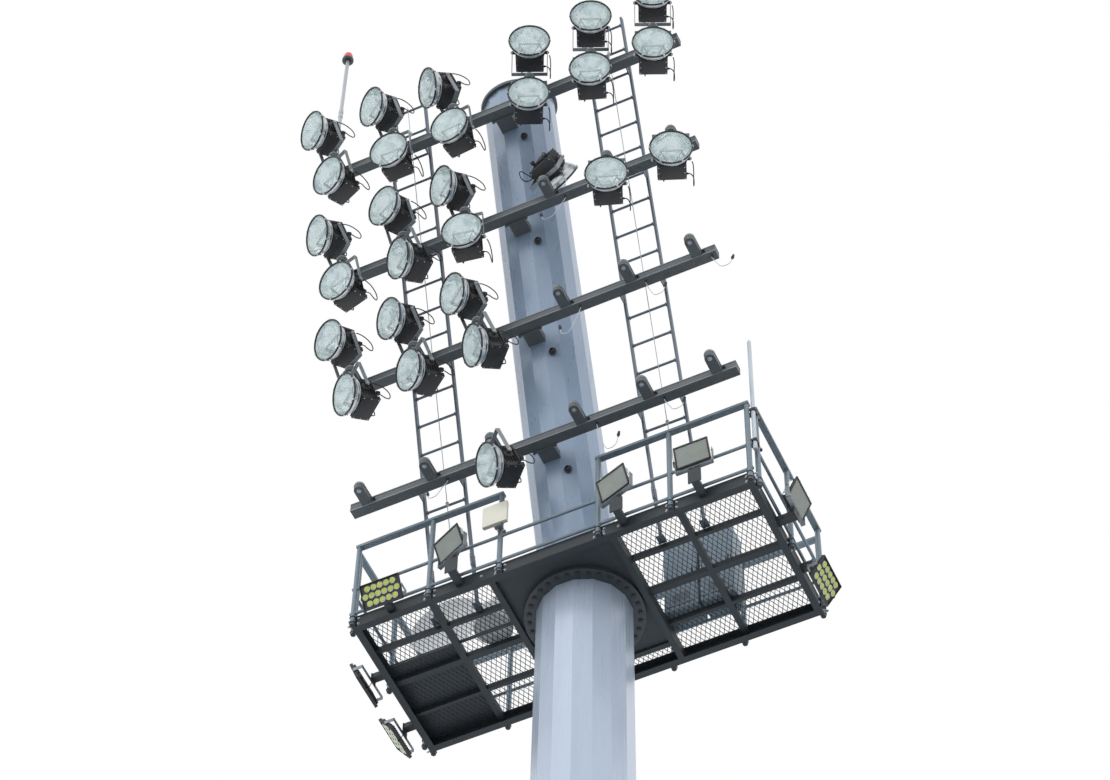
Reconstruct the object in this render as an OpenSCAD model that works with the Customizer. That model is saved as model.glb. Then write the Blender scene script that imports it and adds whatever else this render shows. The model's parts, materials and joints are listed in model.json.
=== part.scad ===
// Stadium floodlight pylon. A tapered sixteen-sided steel shaft carries a
// service deck and a head that leans forward over the field. Four crossarms
// on the head hold tilting round floodlights, with a ladder behind each half.
// Millimetres. +Z is up, +X runs along the crossarms as seen from the field,
// and the field lies towards -Y. The origin is on the shaft's axis at the
// underside of the base flange.

/* [Shaft] */
// Height of the deck frame's underside
deck_z = 29500; // [22000:100:29600]
// Width of the shaft across its corners at the base flange
base_w = 1310; // [1200:10:1500]
// Narrowing of the shaft for each metre of height
taper_per_m = 10; // [7:0.5:12]
// Thickness of the shaft's wall
shaft_wall = 12; // [8:1:20]
// Flat sides of the shaft and of the head
sides = 16; // [12:4:24]
// Length by which one shaft section slips over the next
lap_l = 1500; // [1000:50:2000]
// Clearance inside a slip joint
lap_gap = 0.5; // [0.2:0.1:2]

/* [Base] */
// Thickness of the base flange
flange_t = 50; // [30:5:80]
// Projection of the base flange beyond the shaft
flange_out = 190; // [150:10:250]
// Diameter of an anchor bolt hole
anchor_d = 56; // [30:2:70]
// Height of the base gussets
gusset_h = 320; // [150:10:500]
// Thickness of the base gussets
gusset_t = 20; // [12:1:30]
// Width of the base door
door_w = 300; // [250:10:380]
// Height of the base door
door_h = 900; // [600:20:1200]
// Height of the door's sill above the ground
door_sill = 700; // [600:20:1000]
// Thickness of the door leaf
door_t = 6; // [4:1:12]

/* [Head] */
// Lean of the head towards the field in degrees
lean = 15; // [12:0.5:16]
// Height of the kink above the deck's underside
kink_up = 135; // [130:5:170]
// Length of the head along its own axis
head_l = 7950; // [7700:20:8050]
// Width of the head across its corners at the bottom
head_w = 920; // [860:10:980]
// Width of the head across its corners at the top
head_top_w = 880; // [800:10:940]
// Thickness of the head's wall
head_wall = 10; // [6:1:16]
// Thickness of each flange at the kink
kink_flange_t = 30; // [20:2:40]
// Width of the bolting flanges at the kink
kink_flange_w = 1330; // [1280:10:1400]
// Overhang of the cap on top of the head
cap_out = 35; // [10:5:60]
// Thickness of the cap
cap_t = 40; // [20:5:60]

/* [Crossarms] */
// Length of a crossarm
arm_beam_l = 4720; // [4600:20:4800]
// Outside size of a crossarm's square tube
beam_s = 120; // [100:5:140]
// Wall of a crossarm's square tube
beam_wall = 8; // [5:1:10]
// Distance up the head's axis from the kink to the lowest crossarm
beam_first = 1680; // [1600:10:1750]
// Distance from the highest crossarm to the top of the head, along its axis
head_above = 915; // [880:5:960]
// Distance of a crossarm's front face ahead of the head's axis
beam_out = 780; // [760:5:820]
// Gap between the two inner lamp columns
col_gap = 1020; // [960:10:1060]
// Distance between neighbouring lamp columns
col_pitch = 815; // [800:5:825]
// Reach of a lamp arm ahead of its crossarm
arm_reach = 270; // [240:10:300]
// Width of a lamp arm
arm_w = 120; // [90:5:130]
// Height of a lamp arm
arm_h = 100; // [70:5:120]
// Width of a stand-off box between head and crossarm
stub_w = 210; // [160:10:260]
// Height of a stand-off box
stub_h = 100; // [80:5:110]
// Thickness of a stand-off box's bolting plate
stub_plate = 14; // [8:1:20]

/* [Floodlights] */
// Diameter of a floodlight's front rim
rim_d = 510; // [460:5:520]
// Distance from the tilt axis forward to the front glass
lens_ahead = 210; // [190:5:230]
// Depth of the rim ring
rim_t = 22; // [12:1:30]
// Diameter of the bowl where it meets the housing
bowl_back_d = 360; // [300:5:370]
// Width of the housing
housing_w = 340; // [280:5:350]
// Height of the housing
housing_h = 340; // [260:5:350]
// Depth of the housing behind the bowl
housing_l = 235; // [180:5:240]
// Distance from the lamp arm's face to the tilt axis
yoke_h = 400; // [390:5:420]
// Outside width of a yoke
yoke_w = 436; // [430:2:460]
// Thickness of a yoke's flat bar
yoke_t = 8; // [5:1:10]
// Width of a yoke's flat bar
yoke_bar_w = 50; // [40:2:60]
// Diameter of a tilt pin
pin_d = 20; // [14:1:26]

/* [Ladders] */
// Distance of a ladder's front face ahead of the head's axis
ladder_out = 520; // [500:5:530]
// Width between the outsides of a ladder's rails
ladder_w = 530; // [440:10:560]
// Distance between rungs
rung_pitch = 430; // [300:10:500]
// Diameter of a rung
rung_d = 30; // [22:1:38]
// Depth of a ladder rail
rail_deep = 60; // [40:2:80]
// Thickness of a ladder rail
rail_thick = 25; // [18:1:35]
// Sideways place of the left ladder's middle
ladder_left_x = -1310; // [-1320:5:-1220]
// Sideways place of the right ladder's middle
ladder_right_x = 1380; // [1320:5:1400]
// Length of a ladder along the head's slope
ladder_l = 8100; // [7900:20:8150]

/* [Deck] */
// Length of the deck
deck_l = 4740; // [4660:10:4800]
// Depth of the deck
deck_d = 1940; // [1900:10:2000]
// Distance of the deck's front edge ahead of the shaft's axis
deck_front = 910; // [890:5:930]
// Height of the deck's edge channels
channel_h = 160; // [120:5:180]
// Width of the deck's edge channels
channel_w = 80; // [60:5:100]
// Thickness of channel and joist walls
channel_t = 8; // [5:1:10]
// Distance of the heavy middle joists from the shaft's axis
mid_joist_x = 720; // [700:10:760]
// Distance of the wing joists from the shaft's axis
wing_joist_x = 1470; // [1400:10:1540]
// Height of the wing joists
joist_h = 80; // [60:5:100]
// Width of the wing joists
joist_w = 70; // [50:5:80]
// Thickness of the expanded metal floor
mesh_t = 6; // [3:1:10]
// Thickness of the middle plate
plate_t = 10; // [6:1:14]
// Gap between the kink's flanges and the cross member behind them
plate_gap = 45; // [30:5:60]

/* [Handrail] */
// Height of the top rail above the deck's underside
top_rail_z = 1400; // [1250:10:1430]
// Height of the middle rail above the deck's underside
mid_rail_z = 640; // [560:10:800]
// Height of the lowest rail above the deck's underside
low_rail_z = 200; // [190:10:300]
// Diameter of a handrail post
post_d = 60; // [40:2:70]
// Diameter of the lower rails
rail_d = 38; // [26:2:44]
// Width of the flat top rail
top_rail_w = 70; // [40:5:90]
// Height of the flat top rail
top_rail_h = 40; // [20:2:50]
// Distance of the outer posts beside the ladders from the middle
post_out_x = 1430; // [1390:5:1480]
// Distance of the posts beside the head from the middle
post_in_x = 585; // [550:5:620]

/* [Fittings] */
// Diameter of the dish antenna
dish_d = 900; // [700:10:1000]
// Height of the dish's middle above the floor
dish_up = 750; // [700:10:800]
// Diameter of the drum antenna
drum_d = 440; // [380:10:480]
// Height of the drum antenna
drum_h = 260; // [220:10:300]
// Height of a cabinet
cabinet_h = 1150; // [900:10:1300]
// Width of a cabinet
cabinet_w = 400; // [300:10:450]
// Depth of a cabinet
cabinet_d = 280; // [200:10:320]
// Distance of the cabinets' backs from the deck's back edge
cabinet_back = 330; // [300:10:400]
// Length of the obstruction light's pole
beacon_pole_l = 2950; // [2500:10:3000]
// Diameter of the obstruction light's pole
beacon_pole_d = 48; // [34:2:60]
// Width of a small work lamp
work_w = 400; // [340:10:440]
// Height of a small work lamp
work_h = 290; // [240:10:320]
// Height of a front work lamp's middle above the deck's underside
work_z = 520; // [480:10:560]
// Width of a panel of sixteen small lenses
led_w = 470; // [400:10:500]
// Height of a panel of sixteen small lenses
led_h = 300; // [260:10:330]
// Length of the tube antenna
tube_ant_l = 2100; // [1500:10:2300]

/* [Hidden] */
$fn = 32;
// Small clearance between faces that move or slide past each other
fit = 0.3;
// Overshoot of a cut beyond the face that it opens
cut = 1;
beam_pitch = (head_l - head_above - beam_first) / 3;
corner_to_flat = cos(180 / sides);
kink_z = deck_z + kink_up;
lean_tan = tan(lean);
deck_top = deck_z + channel_h;
floor_z = deck_top + mesh_t;
deck_back = deck_d - deck_front;
base_flange_w = base_w + 2 * flange_out;
anchor_circle = base_w + flange_out;
shaft_top = deck_z + 20;
section_1_top = 10200;
section_2_top = 20200;
lap_step = 2 * (shaft_wall + lap_gap) / corner_to_flat;

// Lamp columns from left to right
cols = [for (k = [0 : 5]) (k < 3 ? -1 : 1) * (col_gap / 2 + (k < 3 ? 2 - k : k - 3) * col_pitch)];

// Floodlights. Each line is a crossarm counted from the top, a column, up
// (1) or hanging (-1), turn to the right and downward tilt in degrees.
lamps = [
    [1, 1, 1, -34, 20], [1, 1, -1, -22, 20], [1, 2, 1, -34, 20], [1, 2, -1, 0, 18],
    [1, 3, 1, -48, 22], [1, 3, -1, -4, 18], [1, 4, 1, 24, 17], [1, 4, -1, 24, 17],
    [1, 5, 1, 24, 17], [1, 5, -1, 20, 17], [1, 6, 1, 24, 17], [1, 6, -1, 24, 17],
    [2, 1, 1, -39, 23], [2, 1, -1, -14, 20], [2, 2, 1, -24, 20], [2, 2, -1, -40, 22],
    [2, 3, 1, -38, 20], [2, 3, -1, 10, 18], [2, 4, 1, 160, 14], [2, 5, -1, 20, 18],
    [2, 6, -1, 22, 18], [3, 1, 1, -28, 22], [3, 1, -1, -38, 22], [3, 2, 1, -36, 22],
    [3, 2, -1, -36, 22], [3, 3, 1, -36, 22], [3, 3, -1, -46, 22], [4, 3, -1, -46, 24]
];
function lamp_name(a) = str("floodlight_", a[0], a[1], a[2] > 0 ? "a" : "b");
lamp_names = [for (a = lamps) lamp_name(a)];

// Width of the shaft's outside across its corners for section k at height z
function shaft_w(k, z) = base_w - taper_per_m * z / 1000 + k * lap_step;
// Width across corners of the inside of a tube of outside width w and wall t
function inside_w(w, t) = w - 2 * t / corner_to_flat;
// Height of crossarm n above the ground, at the underside of its tube
function beam_z(n) = kink_z + (beam_first + (4 - n) * beam_pitch) * cos(lean);
// Forward place of the head's axis at height z
function axis_y(z) = -(z - kink_z) * lean_tan;
// Front face of crossarm n
function beam_y(n) = axis_y(beam_z(n)) - beam_out;
// Place of the bolt in a lamp arm, measured behind the arm's round end
arm_bolt_in = arm_w / 2;
function bolt_y(n) = beam_y(n) - arm_reach + arm_bolt_in;

// Corners of the many-sided outline of width w, with flats to the front,
// the back and both sides
function outline(w) = [for (i = [0 : sides - 1])
    [cos((i + 0.5) * 360 / sides), sin((i + 0.5) * 360 / sides)] * w / 2];

// Solid of height h that tapers from width w0 to w1
module tapered(w0, w1, h) {
    linear_extrude(height = h, scale = w1 / w0) polygon(outline(w0));
}

// A tapered tube with wall t that stands on the XY plane
module sided_tube(w0, w1, h, t) {
    step = (w0 - w1) * cut / h;
    difference() {
        tapered(w0, w1, h);
        translate([0, 0, -cut])
            tapered(inside_w(w0, t) + step, inside_w(w1, t) - step, h + 2 * cut);
    }
}

// A section of the shaft between two heights
module shaft_section(k, z0, z1) {
    translate([0, 0, z0]) sided_tube(shaft_w(k, z0), shaft_w(k, z1), z1 - z0, shaft_wall);
}

// Distance of the lower shaft's flats from its axis at height z
function flat_r(z) = shaft_w(0, z) / 2 * corner_to_flat;

module base_flange() {
    color("silver") {
        difference() {
            cylinder(d = base_flange_w, h = flange_t, $fn = 64);
            translate([0, 0, -cut]) cylinder(d = inside_w(base_w, shaft_wall) - 60, h = flange_t + 2 * cut);
            for (i = [0 : sides - 1])
                rotate([0, 0, (i + 0.5) * 360 / sides])
                    translate([anchor_circle / 2, 0, -cut]) cylinder(d = anchor_d, h = flange_t + 2 * cut);
        }
        for (i = [0 : sides - 1])
            rotate([0, 0, i * 360 / sides]) base_gusset();
    }
}

// Stiffener on the base flange that follows one flat of the shaft
module base_gusset() {
    top_z = flange_t + gusset_h;
    edge = base_w / 2 + flange_out - 30;
    translate([0, gusset_t / 2, 0]) rotate([90, 0, 0])
        linear_extrude(height = gusset_t)
            polygon([[flat_r(flange_t) + fit, flange_t - 1], [edge, flange_t - 1],
                     [edge, flange_t + 40], [flat_r(top_z) + fit + 30, top_z],
                     [flat_r(top_z) + fit, top_z]]);
}

// Place of the door frame's outer face, ahead of the flat at the sill
door_face = flat_r(door_sill) + 24;

module shaft_lower() {
    color("lightsteelblue") difference() {
        union() {
            shaft_section(0, flange_t, section_1_top);
            translate([-door_w / 2 - 40, flat_r(door_sill) - 60, door_sill - 40])
                cube([door_w + 80, door_face - flat_r(door_sill) + 60, door_h + 80]);
        }
        translate([-door_w / 2, flat_r(door_sill) - 100, door_sill])
            cube([door_w, 200, door_h]);
    }
}

module base_door() {
    leaf_w = door_w + 50;
    color("lightsteelblue") translate([-leaf_w / 2, door_face + fit, door_sill - 25]) {
        cube([leaf_w, door_t, door_h + 50]);
        for (f = [0.2, 0.8])
            translate([0, door_t - 1, f * door_h]) cube([50, 16, 60]);
        translate([leaf_w - 60, door_t - 1, door_h / 2]) cube([30, 20, 90]);
    }
}

module shaft_middle() {
    color("lightsteelblue") shaft_section(1, section_1_top - lap_l, section_2_top);
}

// Round bolting flange of the kink, with its underside at z and a hole d
module kink_flange(z, d) {
    translate([0, 0, z]) difference() {
        cylinder(d = kink_flange_w, h = kink_flange_t, $fn = 64);
        translate([0, 0, -cut]) cylinder(d = d, h = kink_flange_t + 2 * cut);
    }
}

module shaft_upper() {
    top_z = shaft_top - kink_flange_t;
    color("lightsteelblue") {
        shaft_section(2, section_2_top - lap_l, top_z);
        kink_flange(top_z, inside_w(shaft_w(2, top_z), shaft_wall) - 40);
    }
}

// Depth below the kink from which the leaning forms start
head_root = 400;
module on_head_axis(up) {
    translate([0, 0, kink_z]) rotate([lean, 0, 0]) translate([0, 0, up]) children();
}

// Leaning head with its level bolting flange
module head_tube() {
    foot_z = shaft_top + kink_flange_t;
    color("slategray") {
        kink_flange(shaft_top, head_w - 160);
        difference() {
            on_head_axis(-head_root) sided_tube(head_w, head_top_w, head_l + head_root, head_wall);
            translate([-head_w, -head_w, foot_z - 800 - 1]) cube([2 * head_w, 2 * head_w, 800]);
        }
    }
}

module head_cap() {
    color("slategray") on_head_axis(head_l + fit)
        cylinder(d = head_top_w + 2 * cap_out, h = cap_t, $fn = 64);
}

// Square tube along X, open at both ends
module square_tube(l, s, t) {
    difference() {
        translate([-l / 2, 0, 0]) cube([l, s, s]);
        translate([-l / 2 - cut, t, t]) cube([l + 2 * cut, s - 2 * t, s - 2 * t]);
    }
}

// Lamp arm: box with a round front end, bored for the yokes' bolt
module lamp_arm(x, n) {
    translate([x, beam_y(n), beam_z(n)]) difference() {
        union() {
            translate([-arm_w / 2, -arm_reach + arm_bolt_in, 0])
                cube([arm_w, arm_reach - arm_bolt_in + 1, arm_h]);
            translate([0, -arm_reach + arm_bolt_in, 0]) cylinder(d = arm_w, h = arm_h);
        }
        translate([0, -arm_reach + arm_bolt_in, -cut]) cylinder(d = 24, h = arm_h + 2 * cut);
    }
}

module crossarm(n) {
    color("slategray") {
        translate([0, beam_y(n), beam_z(n)]) square_tube(arm_beam_l, beam_s, beam_wall);
        for (x = cols) lamp_arm(x, n);
    }
}

// Stand-off between the head's front and a crossarm's back, cut to the head
module crossarm_stub(n) {
    back_y = beam_y(n) + beam_s + fit;
    difference() {
        union() {
            translate([-stub_w / 2, back_y, beam_z(n) + (beam_s - stub_h) / 2])
                cube([stub_w, 600, stub_h]);
            translate([-stub_w / 2 - 40, back_y, beam_z(n) - 25])
                cube([stub_w + 80, stub_plate, beam_s + 50]);
        }
        on_head_axis(-head_root) tapered(head_w + 2 * fit, head_top_w + 2 * fit, head_l + head_root);
    }
}

module crossarm_stubs() {
    color("darkslategray") for (n = [1 : 4]) crossarm_stub(n);
}

// Puts children at the foot of yoke a, turned and tilted with its lamp
module at_bolt(a) {
    face_z = beam_z(a[0]) + (a[2] > 0 ? arm_h : 0);
    translate([cols[a[1] - 1], bolt_y(a[0]), face_z]) rotate([0, 0, a[3]]) rotate([a[4], 0, 0])
        children();
}

module at_pivot(a) {
    at_bolt(a) translate([0, 0, a[2] * yoke_h]) children();
}

// Turns a piece that is drawn upwards so that it hangs when up is -1
module hang(up) {
    if (up > 0) children();
    else mirror([0, 0, 1]) children();
}

// U of flat bar on a round foot, drawn upright
module yoke_bar() {
    seat = 30;
    side_x = yoke_w / 2 - yoke_t;
    difference() {
        union() {
            translate([-yoke_w / 2, -yoke_bar_w / 2, seat]) cube([yoke_w, yoke_bar_w, yoke_t]);
            for (x = [-yoke_w / 2, side_x]) {
                translate([x, -yoke_bar_w / 2, seat]) cube([yoke_t, yoke_bar_w, yoke_h - seat]);
                translate([x, 0, yoke_h]) rotate([0, 90, 0]) cylinder(d = yoke_bar_w, h = yoke_t);
            }
            translate([0, 0, -40]) cylinder(d = 80, h = seat + 41);
        }
        translate([-yoke_w, 0, yoke_h]) rotate([0, 90, 0]) cylinder(d = pin_d + 1, h = 2 * yoke_w);
    }
}

// Yoke with its foot cut level on the lamp arm
module yoke(a) {
    face_z = beam_z(a[0]) + (a[2] > 0 ? arm_h + fit : -fit);
    difference() {
        at_bolt(a) hang(a[2]) yoke_bar();
        translate([cols[a[1] - 1], bolt_y(a[0]), face_z - a[2] * 50])
            cube([300, 300, 100], center = true);
    }
}

module yokes(n) {
    color("dimgray") for (a = lamps) if (a[0] == n) yoke(a);
}

// Floodlight head about its tilt axis, facing -Y
module floodlight_body() {
    r = rim_d / 2;
    boss_l = yoke_w / 2 - yoke_t - fit - housing_w / 2;
    pin_l = yoke_w / 2 - housing_w / 2 + fit;
    // rim ring and glass
    rotate([90, 0, 0]) translate([0, 0, lens_ahead - rim_t / 2]) cylinder(r = r, h = rim_t);
    // spun bowl
    rotate([90, 0, 0]) rotate_extrude()
        polygon([[0, 80], [bowl_back_d / 2, 80], [bowl_back_d / 2 + 28, 120],
                 [r - 22, 165], [r - 6, lens_ahead - rim_t / 2 + 1], [0, lens_ahead - rim_t / 2 + 1]]);
    // housing with the gear tray below and two knobs behind
    translate([-housing_w / 2, -100, -housing_h / 2]) cube([housing_w, housing_l, housing_h]);
    translate([-housing_w / 2, -150, -housing_h / 2 - 35]) cube([housing_w, housing_l + 50, 60]);
    translate([0, housing_l - 101, 0]) rotate([-90, 0, 0]) cylinder(d = 150, h = 41);
    translate([110, housing_l - 101, -20]) rotate([-90, 0, 0]) cylinder(d = 56, h = 66);
    // tilt pins
    for (s = [-1, 1])
        translate([s * (housing_w / 2 - 1), 0, 0]) rotate([0, s * 90, 0]) {
            cylinder(d = 44, h = boss_l + 1);
            cylinder(d = pin_d, h = pin_l + 1);
            translate([0, 0, pin_l + 1]) cylinder(d = 40, h = 18);
        }
}

module floodlight(a) {
    color("gainsboro") at_pivot(a) floodlight_body();
}

// The ladders run parallel to the head's axis and stand on the deck
ladder_foot_y = axis_y(floor_z) - ladder_out;
first_rung = (beam_z(4) - 110 - floor_z) / cos(lean);
module on_slope(x) {
    translate([x, ladder_foot_y, floor_z + fit]) rotate([lean, 0, 0]) children();
}

module ladder(x) {
    rungs = floor((ladder_l - 60 - first_rung) / rung_pitch);
    rail_x = (ladder_w - rail_thick) / 2;
    color("slategray") {
        difference() {
            on_slope(x) {
                for (s = [-1, 1])
                    translate([s * rail_x - rail_thick / 2, 0, -60])
                        cube([rail_thick, rail_deep, ladder_l + 60]);
                for (k = [0 : rungs])
                    translate([-rail_x, rail_deep / 2, first_rung + k * rung_pitch])
                        rotate([0, 90, 0]) cylinder(d = rung_d, h = 2 * rail_x);
            }
            translate([x - ladder_w, ladder_foot_y - 300, floor_z + fit - 200])
                cube([2 * ladder_w, 600, 200]);
        }
        for (s = [-1, 1]) {
            translate([x + s * rail_x - 45, ladder_foot_y - 25, floor_z + fit])
                cube([90, rail_deep + 50, 10]);
            for (n = [1 : 4]) ladder_bracket(x + s * rail_x, n);
        }
    }
}

// Plate from a crossarm's back to a ladder rail
module ladder_bracket(x, n) {
    start_y = beam_y(n) + beam_s + fit;
    mid_z = beam_z(n) + beam_s / 2;
    end_y = axis_y(mid_z) - ladder_out + rail_deep / 2;
    translate([x - 5, start_y, mid_z - 40]) cube([10, end_y - start_y, 80]);
}

// Channel lying along X with its open side towards +Y
module channel(l) {
    difference() {
        translate([-l / 2, 0, 0]) cube([l, channel_w, channel_h]);
        translate([-l / 2 - cut, channel_t, channel_t])
            cube([l + 2 * cut, channel_w, channel_h - 2 * channel_t]);
    }
}

// Front and back edges of the solid plate round the head
plate_y0 = -deck_front + channel_w;
plate_y1 = kink_flange_w / 2 + plate_gap;

module deck_frame() {
    inside_l = deck_l - 2 * channel_t;
    color("darkslategray") translate([0, 0, deck_z]) {
        translate([0, -deck_front, 0]) channel(deck_l);
        translate([0, deck_back, 0]) rotate([0, 0, 180]) channel(deck_l);
        for (s = [-1, 1])
            translate([s * deck_l / 2, deck_back - deck_d / 2, 0]) rotate([0, 0, s * 90])
                channel(deck_d);
        // heavy joists beside the plate, light joists in the wings
        for (x = [-mid_joist_x, mid_joist_x])
            translate([x - joist_w / 2, -deck_front + channel_t, 0])
                cube([joist_w, deck_d - 2 * channel_t, channel_h]);
        for (x = [-wing_joist_x, wing_joist_x])
            translate([x - joist_w / 2, -deck_front + channel_t, channel_h - joist_h])
                cube([joist_w, deck_d - 2 * channel_t, joist_h]);
        // cross joists of both wings
        for (x = [-inside_l / 2, mid_joist_x], f = [0.25, 0.5, 0.75])
            translate([x, -deck_front + f * deck_d - (f == 0.5 ? joist_w : 40) / 2, channel_h - joist_h])
                cube([inside_l / 2 - mid_joist_x, f == 0.5 ? joist_w : 40, joist_h]);
        // cross member behind the plate
        translate([-mid_joist_x, plate_y1, 20]) cube([2 * mid_joist_x, 60, channel_h - 20]);
    }
}

// Solid plate round the head, and the cover of the left back cell
module deck_plates() {
    low_z = shaft_top + kink_flange_t + fit;
    half_x = mid_joist_x - joist_w / 2 - fit;
    hole = head_w / cos(lean) + 2 * kink_up * lean_tan + 20;
    color("darkslategray") {
        difference() {
            translate([-half_x, plate_y0 + fit, low_z]) cube([2 * half_x, plate_y1 - plate_y0 - 2 * fit, plate_t]);
            translate([0, 0, low_z - cut]) cylinder(d = hole, h = plate_t + 2 * cut);
        }
        translate([-deck_l / 2 + 20, cover_y, deck_top + fit])
            cube([cover_x1 + deck_l / 2 - 20, deck_back - 20 - cover_y, mesh_t]);
    }
}

// Front edge and right edge of the cover over the left back cell
cover_y = deck_back - 0.6 * deck_d;
cover_x1 = -wing_joist_x;

module mesh_floor(s) {
    x0 = mid_joist_x - joist_w / 2;
    left = s > 0 ? x0 : -deck_l / 2 + 20;
    color("gray") translate([0, 0, deck_top + fit]) difference() {
        union() {
            translate([left, -deck_front + 20, 0])
                cube([deck_l / 2 - 20 - x0, deck_d - 40, mesh_t]);
            translate([s > 0 ? 1 : -x0 - 1, plate_y1 + 5, 0])
                cube([x0, deck_back - plate_y1 - 25, mesh_t]);
        }
        if (s < 0)
            translate([-deck_l / 2, cover_y - 2, -cut])
                cube([cover_x1 + 2 + deck_l / 2, deck_d, mesh_t + 2 * cut]);
    }
}

// Handrail posts stand on the outside of the deck's edge channels
front_y = -deck_front - post_d / 2;
back_y = deck_back + post_d / 2;
end_x = deck_l / 2 + post_d / 2;
front_posts = [-deck_l / 2 + 20, -post_out_x, -post_in_x, post_in_x, post_out_x, deck_l / 2 - 20];
end_posts = [-deck_front + 90, deck_back - deck_d / 2, deck_back - 90];

module post(x, y) {
    translate([x, y, deck_z]) cylinder(d = post_d, h = top_rail_z);
}

// Rails along X at depth y, with the top rail in the given stretches
module long_rails(y, stretches) {
    l = deck_l + 30;
    for (x = front_posts) post(x, y);
    for (z = [mid_rail_z, low_rail_z])
        translate([-l / 2, y, deck_z + z]) rotate([0, 90, 0]) cylinder(d = rail_d, h = l);
    for (s = stretches)
        translate([s[0] - post_d / 2, y - top_rail_w / 2, deck_z + top_rail_z - top_rail_h / 2])
            cube([s[1] - s[0] + post_d, top_rail_w, top_rail_h]);
}

module handrail_front() {
    color("lightsteelblue")
        long_rails(front_y, [[front_posts[0], front_posts[2]], [front_posts[3], front_posts[5]]]);
}

module handrail_back() {
    color("lightsteelblue") long_rails(back_y, [[front_posts[0], front_posts[5]]]);
}

module handrail_ends() {
    l = deck_d - 130;
    y0 = -deck_front + 65;
    color("lightsteelblue") for (s = [-1, 1]) {
        for (y = end_posts) post(s * end_x, y);
        for (z = [mid_rail_z, low_rail_z])
            translate([s * end_x, y0, deck_z + z]) rotate([-90, 0, 0]) cylinder(d = rail_d, h = l);
        translate([s * end_x - top_rail_w / 2, y0 - 10, deck_z + top_rail_z - top_rail_h / 2])
            cube([top_rail_w, l + 20, top_rail_h]);
    }
}

module cabinets() {
    y = deck_back - cabinet_back - cabinet_d;
    color("slategray") for (k = [0, 1])
        translate([mid_joist_x + 30 + k * (cabinet_w + 30), y, floor_z + 2 * fit])
            cube([cabinet_w, cabinet_d, cabinet_h]);
}

// Dish on its pole, and a drum antenna low in the left wing
module dish_antenna() {
    z = floor_z + 2 * fit;
    color("whitesmoke") {
        translate([590 - deck_l / 2, deck_back - 700, z]) {
            cylinder(d = 220, h = 12);
            cylinder(d = 76, h = dish_up + 250);
            translate([0, -70, dish_up]) rotate([90, 0, 0]) cylinder(d1 = 260, d2 = dish_d, h = 150);
            translate([0, 10, dish_up]) rotate([90, 0, 0]) cylinder(d = 150, h = 90);
        }
        translate([-mid_joist_x - 320, cover_y - 6, z]) {
            cylinder(d = drum_d, h = drum_h);
            translate([0, 0, drum_h - 1]) cylinder(d = 60, h = 300);
        }
    }
}

// Clamp along Y that holds a tube to the post at its end, bored with a gap
module post_clamp(x, y, l, z) {
    translate([x, y, z - 30]) difference() {
        translate([-45, -l, 0]) cube([90, l + 45, 60]);
        translate([0, 0, -cut]) cylinder(d = post_d + 2 * fit, h = 60 + 2 * cut);
    }
}

module panel_antenna() {
    x = front_posts[2];
    z = deck_z + mid_rail_z + 210;
    color("whitesmoke") {
        translate([x, front_y - 140, z]) cube([300, 50, 360], center = true);
        for (dz = [-100, 100]) post_clamp(x, front_y, 120, z + dz);
    }
}

module tube_antenna() {
    x = end_x;
    y = end_posts[0];
    color("lightgray") {
        translate([x + 15, y - 95, deck_z + mid_rail_z - 90]) cylinder(d = 50, h = tube_ant_l);
        for (z = [mid_rail_z + 60, top_rail_z - 130]) {
            post_clamp(x, y, 70, deck_z + z);
            translate([x - 20, y - 105, deck_z + z - 30]) cube([60, 60, 60]);
        }
    }
}

module obstruction_light() {
    x = -arm_beam_l / 2 + 60;
    color("silver") translate([x, beam_y(1) + beam_s / 2, beam_z(1) + beam_s + fit]) {
        translate([-60, -60, 0]) cube([120, 120, 12]);
        cylinder(d = beacon_pole_d, h = beacon_pole_l);
        translate([0, 0, beacon_pole_l - 1]) cylinder(d = 150, h = 61);
        translate([0, 0, beacon_pole_l + 59]) cylinder(d1 = 120, d2 = 90, h = 111);
    }
}

// Puts children on an edge channel's face, with -Y pointing outwards.
// Side 0 is the front, -1 the left end and 1 the right end.
module on_edge(side, along) {
    translate([side == 0 ? along : side * deck_l / 2, side == 0 ? -deck_front : along, deck_z])
        rotate([0, 0, side * 90]) children();
}

// Work lamp in a stirrup on an upright plate, with the lamp's middle at z
module work_lamp(z, pan, tilt) {
    reach = 210;
    in_w = work_w + 20;
    translate([-40, -reach, 50]) cube([80, reach - fit, 90]);
    translate([-75, -reach - 12, 50]) cube([150, 13, z - 50 - 200]);
    translate([0, -reach, z]) rotate([0, 0, pan]) {
        translate([-in_w / 2 - 6, -25, -212]) cube([in_w + 12, 50, 12]);
        for (s = [-1, 1])
            translate([s * (in_w / 2 + 3) - 3, -25, -212]) cube([6, 50, 240]);
        translate([-in_w / 2 - 6, 0, 0]) rotate([0, 90, 0]) cylinder(d = 24, h = in_w + 12);
        rotate([tilt, 0, 0]) {
            translate([-work_w / 2, -70, -work_h / 2]) cube([work_w, 50, work_h]);
            translate([-work_w / 2 + 30, -21, -work_h / 2 + 30]) cube([work_w - 60, 91, work_h - 60]);
        }
    }
}

module work_lamps() {
    color("darkslategray") {
        on_edge(0, 360 - post_out_x) work_lamp(work_z, -24, 22);
        on_edge(0, post_in_x + 295) work_lamp(work_z, -18, 20);
        on_edge(0, deck_l / 2 - 580) work_lamp(work_z, 0, 18);
        on_edge(1, -250) work_lamp(work_z - 140, 0, 24);
    }
}

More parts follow.
